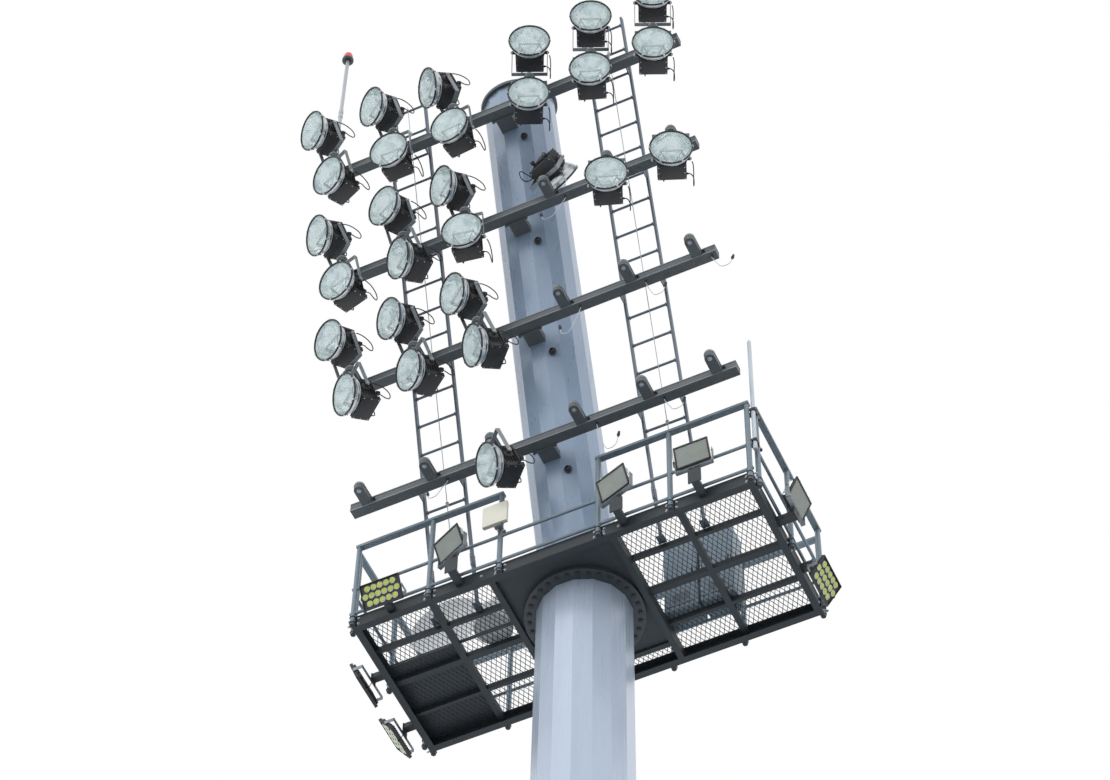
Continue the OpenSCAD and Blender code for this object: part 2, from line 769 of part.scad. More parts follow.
// Panel of small lenses in a stirrup behind it, with its middle at z
module lens_panel(z, tilt) {
    reach = 130;
    in_w = led_w + 16;
    translate([-40, -reach, 40]) cube([80, reach - fit, 80]);
    translate([-50, -reach - 10, min(z - 25, 40)]) cube([100, 11, max(z, 120) - min(z - 25, 40)]);
    translate([-in_w / 2 - 6, -reach - 18, z - 25]) cube([in_w + 12, 9, 50]);
    for (s = [-1, 1])
        translate([s * (in_w / 2 + 3) - 3, -reach - 130, z - 25]) cube([6, 130, 50]);
    translate([0, -reach - 110, z]) {
        translate([-in_w / 2 - 6, 0, 0]) rotate([0, 90, 0]) cylinder(d = 20, h = in_w + 12);
        rotate([tilt, 0, 0]) translate([-led_w / 2, -30, -led_h / 2]) cube([led_w, 60, led_h]);
    }
}

module lens_panels() {
    color("darkslategray") {
        on_edge(0, 480 - deck_l / 2) lens_panel(90, 30);
        on_edge(-1, -130) lens_panel(20, 20);
        on_edge(-1, 650) lens_panel(-30, 35);
        on_edge(1, 420) lens_panel(-260, 35);
    }
}

base_flange();
base_door();
shaft_lower();
shaft_middle();
shaft_upper();
head_tube();
head_cap();
for (n = [1 : 4]) {
    crossarm(n);
    yokes(n);
}
crossarm_stubs();
ladder(ladder_left_x);  // ladder_left
ladder(ladder_right_x);  // ladder_right
deck_frame();
deck_plates();
mesh_floor(-1);  // mesh_floor_left
mesh_floor(1);  // mesh_floor_right
handrail_front();
handrail_back();
handrail_ends();
cabinets();
dish_antenna();
panel_antenna();
tube_antenna();
obstruction_light();
work_lamps();
lens_panels();
for (a = lamps)
    floodlight(a);
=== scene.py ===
"""Looks of a stadium floodlight pylon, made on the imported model.

Metres, in the model's own frame: +Z is up, the field lies towards -Y and +X
runs along the crossarms. Each operator makes one piece or one group of like
pieces, and every piece rides on a body of the model.
"""

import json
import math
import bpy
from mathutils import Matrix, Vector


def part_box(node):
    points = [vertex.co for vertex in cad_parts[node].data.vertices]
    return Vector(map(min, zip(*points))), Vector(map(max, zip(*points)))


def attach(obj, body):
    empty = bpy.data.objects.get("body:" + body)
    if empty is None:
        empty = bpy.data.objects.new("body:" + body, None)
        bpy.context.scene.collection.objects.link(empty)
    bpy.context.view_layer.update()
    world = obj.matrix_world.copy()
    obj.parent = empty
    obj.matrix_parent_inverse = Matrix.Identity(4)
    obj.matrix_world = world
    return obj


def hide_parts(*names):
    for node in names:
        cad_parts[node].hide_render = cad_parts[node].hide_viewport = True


bl_info = {
    "name": "Stadium Floodlight Pylon",
    "version": (1, 0, 0),
    "blender": (4, 5, 0),
    "location": "View3D > Sidebar > Pylon",
    "description": "Dresses the packed model of a floodlight pylon",
    "category": "Object",
}

import bmesh
import bpy
from bpy.props import FloatProperty, FloatVectorProperty, PointerProperty
from mathutils import Matrix, Vector

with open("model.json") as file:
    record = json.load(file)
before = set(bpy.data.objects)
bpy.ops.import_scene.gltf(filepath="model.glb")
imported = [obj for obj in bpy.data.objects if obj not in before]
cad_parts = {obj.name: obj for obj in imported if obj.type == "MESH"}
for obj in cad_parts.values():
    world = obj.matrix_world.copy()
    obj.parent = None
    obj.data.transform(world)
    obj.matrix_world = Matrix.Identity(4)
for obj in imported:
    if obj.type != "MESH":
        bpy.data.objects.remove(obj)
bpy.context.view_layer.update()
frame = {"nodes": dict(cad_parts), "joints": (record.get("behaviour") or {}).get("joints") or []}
MAST = "pylon"

# Sizes that repeat the source's values, in metres
DECK_Z = 29.5
DECK_TOP = DECK_Z + 0.16
DECK_X = 2.37
DECK_FRONT = -0.91
DECK_BACK = 1.03
LEAN = math.radians(15)
KINK_Z = DECK_Z + 0.135
FLANGES = (DECK_Z - 0.0102, DECK_Z + 0.0502)
HEAD_TOP = 7.99
BEAM = 0.12
HALF_BEAM = 2.36
BEAM_OUT = 0.78
BEAM_FIRST = 1.68
BEAM_PITCH = 1.785
LEVELS = [KINK_Z + (BEAM_FIRST + (4 - n) * BEAM_PITCH) * math.cos(LEAN) for n in range(1, 5)]
COLUMNS = [-2.14, -1.325, -0.51, 0.51, 1.325, 2.14]
ARM_REACH = 0.27
ARM_END_R = 0.06
LADDERS = (-1.31, 1.38)
LADDER_END = 8.04
RUNG_PITCH = 0.43
POSTS = [-2.35, -1.43, -0.585, 0.585, 1.43, 2.35]
END_POSTS = (-0.82, 0.06, 0.94)
POST_OUT = 0.030
STRAPS = (DECK_Z + 0.035, DECK_Z + 0.125)
LOW_RAILS = (DECK_Z + 0.64, DECK_Z + 0.20)

# Count and circle radius of the kink's bolts and of the anchors
KINK_BOLTS = (32, 0.605)
ANCHORS = (16, 0.750)

# Low and high corner of each floor panel: front left, back left, behind the
# mast and right; then the covered cell
PANELS = [((-2.35, -0.89), (-0.685, -0.138)), ((-1.466, -0.138), (-0.685, 1.01)),
          ((-0.685, 0.716), (0.685, 1.01)), ((0.685, -0.89), (2.35, 1.01))]
COVERED = ((-2.35, -0.118), (-1.507, 1.01))

# The photo's camera: place, axes, focal length and width in its pixels
CAMERA_AT = (9.71, -20.64, DECK_Z - 29.19)
CAMERA_AXES = [(0.9055, 0.4228, 0.0134), (0.3432, -0.7521, 0.5618), (0.2475, -0.5042, -0.8261)]
FOCAL_PIXELS = 3415.8
PHOTO_WIDTH = 1110
SENSOR = 36.0

# Downward tilt of each floodlight at rest, in degrees
TILTS = {
    "11a": 20, "11b": 20, "12a": 20, "12b": 18, "13a": 22, "13b": 18, "14a": 17,
    "14b": 17, "15a": 17, "15b": 17, "16a": 17, "16b": 17, "21a": 23, "21b": 20,
    "22a": 20, "22b": 22, "23a": 20, "23b": 18, "24a": 14, "25b": 18, "26b": 18,
    "31a": 22, "31b": 22, "32a": 22, "32b": 22, "33a": 22, "33b": 22, "43b": 24,
}


def beam_z(n):
    """Underside of crossarm n, counted from the top."""
    return LEVELS[n - 1]


def axis_y(z):
    """Forward place of the leaning head's axis at height z."""
    return -(z - KINK_Z) * math.tan(LEAN)


def beam_y(n):
    """Front face of crossarm n."""
    return axis_y(beam_z(n)) - BEAM_OUT


def spin(degrees, axis):
    """A turn by some degrees about X, Y or Z."""
    return Matrix.Rotation(math.radians(degrees), 4, axis)


# Materials


class Val:
    """A shader socket that takes part in Python arithmetic."""

    def __init__(self, shader, socket):
        self.shader, self.socket = shader, socket

    def _do(self, operation, *values):
        return self.shader.node("ShaderNodeMath", {"operation": operation}, list(values))[0]

    def __add__(self, other):
        return self._do("ADD", self, other)

    __radd__ = __add__

    def __mul__(self, other):
        return self._do("MULTIPLY", self, other)

    __rmul__ = __mul__

    def __sub__(self, other):
        return self._do("SUBTRACT", self, other)

    def __rsub__(self, other):
        return self._do("SUBTRACT", other, self)

    def clamp(self):
        options = {"operation": "ADD", "use_clamp": True}
        return self.shader.node("ShaderNodeMath", options, [self, 0.0])[0]

    def above(self, edge):
        return self._do("GREATER_THAN", self, edge)

    def wave(self):
        return self._do("SINE", self)


class Shader:
    """A material under construction."""

    def __init__(self, name):
        self.material = bpy.data.materials.new(name)
        self.material.use_nodes = True
        self.tree = self.material.node_tree
        self.bsdf = self.tree.nodes["Principled BSDF"]
        self.place = self.node("ShaderNodeTexCoord", {}, {})["Object"]

    def node(self, kind, settings, inputs):
        """Adds a node, sets it up and returns its outputs by name or place."""
        made = self.tree.nodes.new(kind)
        for key, value in settings.items():
            if key == "stops":
                set_stops(made.color_ramp, value)
            else:
                setattr(made, key, value)
        pairs = inputs.items() if isinstance(inputs, dict) else enumerate(inputs)
        for key, value in pairs:
            target = made.inputs[key]
            if isinstance(value, Val):
                self.tree.links.new(value.socket, target)
            else:
                target.default_value = value
        return Outputs(self, made)

    def noise(self, scale, detail=4.0, rough=0.55, stretch=None):
        where = self.place
        if stretch:
            where = self.node("ShaderNodeVectorMath", {"operation": "MULTIPLY"}, [where, stretch])[0]
        return self.node(
            "ShaderNodeTexNoise", {}, {"Vector": where, "Scale": scale, "Detail": detail,
                                       "Roughness": rough}
        )["Fac"]

    def part(self, axis):
        return self.node("ShaderNodeSeparateXYZ", {}, {"Vector": self.place})["XYZ".index(axis)]

    def mix(self, factor, first, second):
        """Mixes two colours."""
        values = {"Factor": factor, 6: first, 7: second}
        return self.node("ShaderNodeMix", {"data_type": "RGBA"}, values)[2]

    def ramp(self, value, stops):
        return self.node("ShaderNodeValToRGB", {"stops": stops}, {"Fac": value})["Color"]

    def bump(self, height, distance, strength=1.0):
        return self.node(
            "ShaderNodeBump", {}, {"Height": height, "Distance": distance, "Strength": strength}
        )["Normal"]

    def finish(self, **values):
        for key, value in values.items():
            target = self.bsdf.inputs[key.replace("_", " ")]
            if isinstance(value, Val):
                self.tree.links.new(value.socket, target)
            else:
                target.default_value = value
        return self.material


class Outputs:
    """Outputs of a node, by name or place."""

    def __init__(self, shader, made):
        self.shader, self.made = shader, made

    def __getitem__(self, key):
        return Val(self.shader, self.made.outputs[key])


def rgba(colour):
    return (*colour[:3], 1.0)


def set_stops(ramp, stops):
    """Gives a colour ramp its stops, each a position and a colour."""
    while len(ramp.elements) < len(stops):
        ramp.elements.new(0.5)
    for stop, (at, colour) in zip(ramp.elements, stops):
        stop.position, stop.color = at, rgba(colour)


def wire(tree, *joints):
    """Joins sockets, each joint given as (node, output, node, input)."""
    for giver, output, taker, socket in joints:
        tree.links.new(giver.outputs[output], taker.inputs[socket])


def shade(colour, k):
    return tuple(min(1.0, c * k) for c in colour[:3])


def coated_steel(name, colour, roughness=0.42, metallic=0.25, streak=0.10, spangle=0.0):
    """Weathered coated steel with rain streaks, cloudy patches and spangle."""
    s = Shader(name)
    streaks = s.noise(6.0, 5.0, 0.6, (3.0, 3.0, 0.12))
    clouds = s.noise(1.3, 3.0, 0.5)
    fine = s.noise(90.0, 3.0, 0.6)
    base = s.ramp(
        (streaks * 0.6 + clouds * 0.4).clamp(),
        [(0.25, shade(colour, 1 - 1.6 * streak)), (0.5, colour), (0.75, shade(colour, 1 + streak))],
    )
    height = fine * 0.3 + streaks * 0.7
    if spangle:
        cells = s.node("ShaderNodeTexVoronoi", {"feature": "F1"}, {"Vector": s.place, "Scale": 55.0})
        flake = s.node("ShaderNodeSeparateXYZ", {}, {"Vector": cells["Color"]})[0]
        base = s.mix((flake * spangle).clamp(), base, rgba(shade(colour, 1.35)))
        height = height + flake * 0.4
    rough = (streaks * 0.25 + (roughness - 0.12)).clamp()
    return s.finish(
        Base_Color=base, Roughness=rough, Metallic=metallic, Normal=s.bump(height, 0.0006)
    )


def shaft_coat(name, colour, flange_shade_colour):
    """Mast paint: soft vertical rain marks that thin out along the height.
    The flanges at the kink are painted in the dark deck colour, as painted shade under the deck."""
    s = Shader(name)
    marks = s.noise(5.0, 6.0, 0.62, (2.4, 2.4, 0.05))
    broad = s.noise(0.6, 2.0, 0.5, (1.0, 1.0, 0.3))
    grime = ((marks * 1.6 - 0.75).clamp() * (broad * 1.4 - 0.3).clamp()).clamp()
    base = s.mix(grime, rgba(colour), rgba(shade(colour, 0.72)))
    chalk = (s.noise(14.0, 4.0, 0.6, (1.0, 1.0, 0.2)) * 0.9 - 0.38).clamp()
    base = s.mix(chalk, base, rgba(shade(colour, 1.12)))
    # painted shade: the band of the kink's flanges, just under and over the deck plate, takes the dark
    # deck colour
    flange_shade_band = s.part("Z").above(FLANGES[0]) * (1.0 - s.part("Z").above(FLANGES[1]))
    base = s.mix(flange_shade_band, base, rgba(flange_shade_colour))
    rough = (marks * 0.18 + 0.20 + flange_shade_band * 0.3).clamp()
    return s.finish(
        Base_Color=base, Roughness=rough, Metallic=0.15, Normal=s.bump(s.noise(40.0, 3.0), 0.0006),
        Coat_Weight=0.35, Coat_Roughness=0.18
    )


def black_casting(name, colour=(0.018, 0.019, 0.022), roughness=0.5):
    """Black powder coat on cast or folded metal, dusty on its broad faces."""
    s = Shader(name)
    dust = (s.noise(7.0, 4.0, 0.6) * 1.5 - 0.62).clamp()
    grain = s.noise(420.0, 2.0, 0.5)
    base = s.mix(dust * 0.45, rgba(colour), rgba((0.11, 0.115, 0.12)))
    return s.finish(
        Base_Color=base, Roughness=(dust * 0.25 + roughness).clamp(), Metallic=0.0,
        Normal=s.bump(grain, 0.0003)
    )


def spun_metal(name, colour, roughness=0.28):
    """Spun aluminium with fine turning marks and a slight tarnish."""
    s = Shader(name)
    rings = s.noise(240.0, 2.0, 0.5)
    tarnish = s.noise(9.0, 4.0, 0.6)
    base = s.ramp(tarnish, [(0.3, shade(colour, 0.86)), (0.55, colour), (0.8, shade(colour, 1.08))])
    return s.finish(
        Base_Color=base, Metallic=0.85, Roughness=(tarnish * 0.18 + roughness - 0.05).clamp(),
        Normal=s.bump(rings, 0.0002)
    )


def hammered_reflector(name):
    """Bright facetted reflector of a floodlight."""
    s = Shader(name)
    cells = s.node("ShaderNodeTexVoronoi", {"feature": "F1"}, {"Vector": s.place, "Scale": 12.0})
    tone = s.noise(9.0, 3.0, 0.5)
    base = s.ramp(tone, [(0.35, (0.52, 0.58, 0.59)), (0.5, (0.86, 0.90, 0.90)),
                         (0.7, (0.97, 0.98, 0.98))])
    return s.finish(
        Base_Color=base, Metallic=0.8, Roughness=0.16, Normal=s.bump(cells["Distance"], 0.016, 0.9)
    )


def front_glass(name, tint, alpha=0.42):
    """Front glass with a faint film of dust."""
    s = Shader(name)
    film = s.noise(5.0, 4.0, 0.6)
    base = s.ramp(film, [(0.3, shade(tint, 0.93)), (0.7, tint)])
    made = s.finish(
        Base_Color=base, Roughness=(film * 0.10 + 0.03).clamp(), Alpha=(film * 0.16 + alpha).clamp(),
        IOR=1.5
    )
    made.surface_render_method = "BLENDED"
    return made


def moulded(name, colour, roughness=0.45, mottling=0.06):
    """Weathered moulded plastic or enamel."""
    s = Shader(name)
    tone = s.noise(6.0, 4.0, 0.6, (1.0, 1.0, 0.4))
    grain = s.noise(260.0, 2.0, 0.5)
    base = s.ramp(tone, [(0.3, shade(colour, 1 - mottling)), (0.6, colour),
                         (0.8, shade(colour, 1 + mottling))])
    return s.finish(
        Base_Color=base, Roughness=(tone * 0.2 + roughness - 0.1).clamp(), Normal=s.bump(grain, 0.0002)
    )


def lens_face(name, colour):
    """Small optic with a ribbed face over its light source."""
    s = Shader(name)
    ribs = (s.part("Z") * 900.0).wave() * 0.5 + 0.5
    tone = s.noise(30.0, 3.0, 0.5)
    base = s.ramp(tone, [(0.3, shade(colour, 0.8)), (0.6, colour), (0.8, shade(colour, 1.25))])
    return s.finish(Base_Color=base, Roughness=0.18, Coat_Weight=0.4, Normal=s.bump(ribs, 0.0006, 0.5))


MATERIALS = {}


def make_materials():
    c = bpy.context.scene.pylon_colours
    MATERIALS.update(
        # painted shade: the deck colour given to both paints darkens the kink's flanges, which sit in
        # the deck's shade
        shaft=shaft_coat("shaft paint", c.shaft, c.deck),
        # painted shade: the head's paint is the shaft's paint made darker, for the shade on the leaning
        # head's front
        head=shaft_coat("head paint", c.head, c.deck),
        zinc=coated_steel("weathered zinc", c.zinc, 0.45, 0.45, 0.10, 0.22),
        ladder=coated_steel("ladder zinc", c.ladder, 0.5, 0.4, 0.14, 0.12),
        crossarm=coated_steel("crossarm steel", c.crossarm, 0.5, 0.35, 0.16, 0.10),
        deck=coated_steel("deck steel", c.deck, 0.55, 0.3, 0.18, 0.06),
        lattice=coated_steel("expanded metal", c.lattice, 0.55, 0.3, 0.15, 0.0),
        yoke=coated_steel("yoke zinc", c.yoke, 0.42, 0.5, 0.12, 0.15),
        bolt=coated_steel("bolt zinc", (0.46, 0.48, 0.50), 0.38, 0.7, 0.10),
        black=black_casting("black housing"),
        rim=black_casting("rim enamel", (0.012, 0.013, 0.015), 0.38),
        spun=spun_metal("spun aluminium", c.spun),
        reflector=hammered_reflector("facetted reflector"),
        glass=front_glass("floodlight glass", c.glass, 0.30),
        lamp_glass=front_glass("work lamp glass", (0.46, 0.50, 0.46), 0.50),
        burner=moulded("burner tube", (0.86, 0.88, 0.88), 0.15),
        lens=lens_face("small optics", c.optics),
        pale_lens=lens_face("pale optics", (0.72, 0.78, 0.80)),
        white=moulded("dish enamel", (0.80, 0.81, 0.82), 0.35),
        cream=moulded("cream radome", (0.84, 0.82, 0.70), 0.5),
        grey=moulded("grey tube plastic", (0.56, 0.61, 0.66), 0.4),
        cabinet=coated_steel("cabinet paint", c.cabinet, 0.45, 0.1, 0.10),
        rubber=moulded("black rubber", (0.022, 0.022, 0.024), 0.6),
        white_lead=moulded("pale lead", (0.62, 0.64, 0.64), 0.5),
        red=moulded("red dome", (0.86, 0.035, 0.05), 0.18),
    )


# Shapes


class Shape:
    """Collects faces in the model's frame and turns them into one piece."""

    def __init__(self, *materials):
        self.bm = bmesh.new()
        self.materials = list(materials)

    def _take(self, made, matrix, material):
        verts = [v for v in made if isinstance(v, bmesh.types.BMVert)]
        if matrix is not None:
            bmesh.ops.transform(self.bm, matrix=matrix, verts=verts)
        index = self.materials.index(material)
        for face in {f for v in verts for f in v.link_faces}:
            face.material_index = index
            face.smooth = True

    def box(self, low, high, material, matrix=None, chamfer=0.0):
        low, high = Vector(low), Vector(high)
        size, centre = high - low, (low + high) / 2
        made = bmesh.ops.create_cube(
            self.bm, size=1.0, matrix=Matrix.Translation(centre) @ Matrix.Diagonal((*size, 1.0))
        )["verts"]
        if chamfer:
            edges = list({e for v in made for e in v.link_edges})
            out = bmesh.ops.bevel(
                self.bm, geom=edges, offset=chamfer, segments=2, profile=0.6, affect="EDGES",
                clamp_overlap=True
            )
            made = list({v for f in out["faces"] for v in f.verts} | {v for v in made if v.is_valid})
        self._take(made, matrix, material)

    def lathe(self, profile, material, matrix=None, around=24):
        """Turns (radius, height) points about Z; both ends on the axis close."""
        rings = []
        for radius, height in profile:
            if radius < 1e-6:
                rings.append([self.bm.verts.new((0, 0, height))])
            else:
                rings.append([
                    self.bm.verts.new((
                        radius * math.cos(math.tau * k / around),
                        radius * math.sin(math.tau * k / around), height))
                    for k in range(around)
                ])
        for first, second in zip(rings, rings[1:]):
            for k in range(around):
                j = (k + 1) % around
                if len(first) == 1 and len(second) == 1:
                    continue
                if len(first) == 1:
                    self.bm.faces.new((first[0], second[j], second[k]))
                elif len(second) == 1:
                    self.bm.faces.new((first[k], first[j], second[0]))
                else:
                    self.bm.faces.new((first[k], first[j], second[j], second[k]))
        self._take([v for ring in rings for v in ring], matrix, material)

    def disc(self, radius, low, high, material, matrix=None, around=24):
        """A plain disc or short cylinder about Z."""
        self.lathe([(0, low), (radius, low), (radius, high), (0, high)], material, matrix, around)

    def slab(self, x, half, low, high, material, matrix=None, chamfer=0.0):
        """A box centred on x: half its width, then its low and high Y and Z."""
        self.box((x - half, *low), (x + half, *high), material, matrix, chamfer)

    def border(self, x, z, bar, y, material, matrix, chamfer):
        """Four bars as an upright frame: its half width and half height, the
        bars' width, and where they start and end in depth."""
        for low, high in (((-x, z - bar), (x, z)), ((-x, -z), (x, bar - z)),
                          ((-x, -z), (bar - x, z)), ((x - bar, -z), (x, z))):
            self.box((low[0], y[0], low[1]), (high[0], y[1], high[1]), material, matrix, chamfer)

    def rod(self, start, end, radius, material, around=12, matrix=None):
        start, end = Vector(start), Vector(end)
        along = end - start
        turn = along.to_track_quat("Z", "Y").to_matrix().to_4x4()
        where = Matrix.Translation(start) @ turn
        length = along.length
        edge = min(radius * 0.15, length * 0.2)
        self.lathe(
            [(0, 0), (radius - edge, 0), (radius, edge), (radius, length - edge),
             (radius - edge, length), (0, length)],
            material, (matrix @ where) if matrix is not None else where, around)

    def tube(self, points, radius, material, around=8, matrix=None, closed_ends=True):
        """Sweeps a round section along points."""
        points = [Vector(p) for p in points]
        rings, normal = [], None
        for k, point in enumerate(points):
            ahead = points[min(k + 1, len(points) - 1)] - points[max(k - 1, 0)]
            ahead.normalize()
            if normal is None:
                normal = ahead.orthogonal().normalized()
            else:
                normal = (normal - ahead * normal.dot(ahead)).normalized()
            side = ahead.cross(normal)
            rings.append([
                self.bm.verts.new(point + (normal * math.cos(a) + side * math.sin(a)) * radius)
                for a in (math.tau * i / around for i in range(around))
            ])
        for first, second in zip(rings, rings[1:]):
            for i in range(around):
                j = (i + 1) % around
                self.bm.faces.new((first[i], first[j], second[j], second[i]))
        if closed_ends:
            self.bm.faces.new(list(reversed(rings[0])))
            self.bm.faces.new(rings[-1])
        self._take([v for ring in rings for v in ring], matrix, material)

    def plate(self, outline, low, high, material, matrix=None):
        """Flat plate from an outline in the XY plane, running anticlockwise."""
        bottom = [self.bm.verts.new((x, y, low)) for x, y in outline]
        top = [self.bm.verts.new((x, y, high)) for x, y in outline]
        count = len(outline)
        self.bm.faces.new(list(reversed(bottom)))
        self.bm.faces.new(top)
        for k in range(count):
            j = (k + 1) % count
            self.bm.faces.new((bottom[k], bottom[j], top[j], top[k]))
        self._take(bottom + top, matrix, material)

    def mesh(self, name, angle=35):
        data = bpy.data.meshes.new(name)
        bmesh.ops.recalc_face_normals(self.bm, faces=self.bm.faces)
        self.bm.to_mesh(data)
        self.bm.free()
        for key in self.materials:
            data.materials.append(MATERIALS[key])
        data.set_sharp_from_angle(angle=math.radians(angle))
        return data

    def finish(self, name, slot, body=MAST, replaces=()):
        return place(self.mesh(name), name, body, replaces)


def place(data, name, body=MAST, replaces=()):
    """Makes a mesh a piece that rides on a body."""
    piece = bpy.data.objects.new(name, data)
    bpy.context.scene.collection.objects.link(piece)
    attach(piece, body)
    if replaces:
        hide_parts(*replaces)
    return piece


def node_tree(name, sizes):
    """An empty Geometry Nodes tree with named size inputs."""
    tree = bpy.data.node_groups.new(name, "GeometryNodeTree")
    tree.interface.new_socket("Geometry", in_out="INPUT", socket_type="NodeSocketGeometry")
    for label, (kind, default) in sizes.items():
        socket = tree.interface.new_socket(label, in_out="INPUT", socket_type=kind)
        if default is not None:
            socket.default_value = default
    tree.interface.new_socket("Geometry", in_out="OUTPUT", socket_type="NodeSocketGeometry")
    return tree


def run_tree(base, tree, values, name):
    """Runs a tree on a base mesh and returns the result as a plain mesh."""
    holder = bpy.data.objects.new(name + "_base", base)
    bpy.context.scene.collection.objects.link(holder)
    modifier = holder.modifiers.new("build", "NODES")
    modifier.node_group = tree
    ids = {i.name: i.identifier for i in tree.interface.items_tree if i.in_out == "INPUT"}
    for label, value in values.items():
        modifier[ids[label]] = value
    bpy.context.view_layer.update()
    graph = bpy.context.evaluated_depsgraph_get()
    data = bpy.data.meshes.new_from_object(holder.evaluated_get(graph))
    data.name = name
    bpy.data.objects.remove(holder)
    return data


def end_tree(tree, source, instance):
    """Ends a tree: its copies are realized and get their finish."""
    new = tree.nodes.new
    realize, paint = new("GeometryNodeRealizeInstances"), new("GeometryNodeSetMaterial")
    wire(tree, (instance, "Instances", realize, "Geometry"), (realize, "Geometry", paint, "Geometry"),
         (source, "Finish", paint, "Material"), (paint, "Geometry", new("NodeGroupOutput"), "Geometry"))
    return tree


def copies_tree():
    """Puts a copy of a shape on each point, its Z along the stored direction."""
    tree = bpy.data.node_groups.get("copies on points")
    if tree:
        return tree
    tree = node_tree("copies on points", {
        "Shape": ("NodeSocketObject", None),
        "Finish": ("NodeSocketMaterial", None),
    })
    new = tree.nodes.new
    source, info = new("NodeGroupInput"), new("GeometryNodeObjectInfo")
    facing = new("GeometryNodeInputNamedAttribute")
    facing.data_type = "FLOAT_VECTOR"
    facing.inputs["Name"].default_value = "facing"
    align = new("FunctionNodeAlignRotationToVector")
    align.axis = "Z"
    instance = new("GeometryNodeInstanceOnPoints")
    wire(tree, (source, "Shape", info, "Object"), (facing, "Attribute", align, "Vector"),
         (source, "Geometry", instance, "Points"), (info, "Geometry", instance, "Instance"),
         (align, "Rotation", instance, "Rotation"))
    return end_tree(tree, source, instance)


def bolt_head(radius=0.012, height=0.010, shank=0.0):
    """Hexagon head on a washer, standing on the XY plane."""
    s = Shape("bolt")
    s.disc(radius * 1.9, 0, height * 0.28, "bolt", None, 12)
    s.lathe([(0, height * 0.28), (radius * 1.15, height * 0.28), (radius * 1.15, height * 1.15),
             (radius, height * 1.35), (0, height * 1.35)], "bolt", None, 6)
    if shank:
        s.disc(radius * 0.62, height, shank, "bolt", None, 8)
    return s.mesh("bolt", 30)


def copies(name, points, shape, finish):
    """Copies a shape to points given as (place, direction)."""
    base = bpy.data.meshes.new(name)
    base.from_pydata([p for p, _ in points], [], [])
    facing = base.attributes.new("facing", "FLOAT_VECTOR", "POINT")
    facing.data.foreach_set("vector", [c for _, d in points for c in d])
    model = bpy.data.objects.new(name + "_shape", shape)
    bpy.context.scene.collection.objects.link(model)
    data = run_tree(base, copies_tree(), {"Shape": model, "Finish": MATERIALS[finish]}, name)
    bpy.data.objects.remove(model)
    return place(data, name)


def lattice_tree():
    """Expanded metal: a grid of slanted strands laid as diamonds."""
    tree = bpy.data.node_groups.get("expanded metal")
    if tree:
        return tree
    tree = node_tree("expanded metal", {
        "Strand": ("NodeSocketObject", None),
        "Width": ("NodeSocketFloat", 1.0),
        "Depth": ("NodeSocketFloat", 1.0),
        "Count X": ("NodeSocketInt", 10),
        "Count Y": ("NodeSocketInt", 10),
        "Finish": ("NodeSocketMaterial", None),
    })
    new = tree.nodes.new
    source, info = new("NodeGroupInput"), new("GeometryNodeObjectInfo")
    grid, corners = new("GeometryNodeMeshGrid"), new("GeometryNodeBoundBox")
    instance, move = new("GeometryNodeInstanceOnPoints"), new("GeometryNodeSetPosition")
    total, middle = new("ShaderNodeVectorMath"), new("ShaderNodeVectorMath")
    total.operation, middle.operation = "ADD", "SCALE"
    middle.inputs["Scale"].default_value = 0.5
    wire(tree, (source, "Geometry", corners, "Geometry"), (corners, "Min", total, 0),
         (corners, "Max", total, 1), (total, 0, middle, 0), (source, "Width", grid, "Size X"),
         (source, "Depth", grid, "Size Y"), (source, "Count X", grid, "Vertices X"),
         (source, "Count Y", grid, "Vertices Y"), (grid, "Mesh", move, "Geometry"),
         (middle, 0, move, "Offset"), (source, "Strand", info, "Object"),
         (move, "Geometry", instance, "Points"), (info, "Geometry", instance, "Instance"))
    return end_tree(tree, source, instance)


def expanded_metal(name, low, high, z):
    """The mesh of a floor of expanded metal between two corners."""
    sizes = bpy.context.scene.pylon_sizes
    width, depth = high[0] - low[0], high[1] - low[1]
    count_x, count_y = round(width / sizes.diamond_x), round(depth / sizes.diamond_y)
    pitch_x, pitch_y = width / count_x, depth / count_y
    s = Shape("lattice")
    for k, sign in enumerate((1, -1)):
        b = Vector((pitch_x / 2, pitch_y / 2 * sign, 0))
        a = -b
        side = (b - a).normalized().cross(Vector((0, 0, 1))) * sizes.strand / 2
        s.plate([(v.x, v.y) for v in (a + side, b + side, b - side, a - side)],
                0.0006 * k, 0.0006 * k + 0.0045, "lattice")
    strand = bpy.data.objects.new(name + "_strand", s.mesh("strand"))
    bpy.context.scene.collection.objects.link(strand)
    base = bpy.data.meshes.new(name)
    base.from_pydata([(low[0], low[1], z), (high[0], high[1], z)], [], [])
    data = run_tree(base, lattice_tree(), {
        "Strand": strand, "Width": width - pitch_x, "Depth": depth - pitch_y,
        "Count X": count_x, "Count Y": count_y, "Finish": MATERIALS["lattice"],
    }, name)
    bpy.data.objects.remove(strand)
    return data


def joined(parts, name):
    """One mesh from several that share their materials."""
    bm = bmesh.new()
    for data in parts:
        bm.from_mesh(data)
    made = bpy.data.meshes.new(name)
    bm.to_mesh(made)
    bm.free()
    for material in parts[0].materials:
        made.materials.append(material)
    return made


# Floodlights


def facing_front():
    """Turns a lathe's axis so that its +Z points to the lamp's front, -Y."""
    return spin(90, "X")


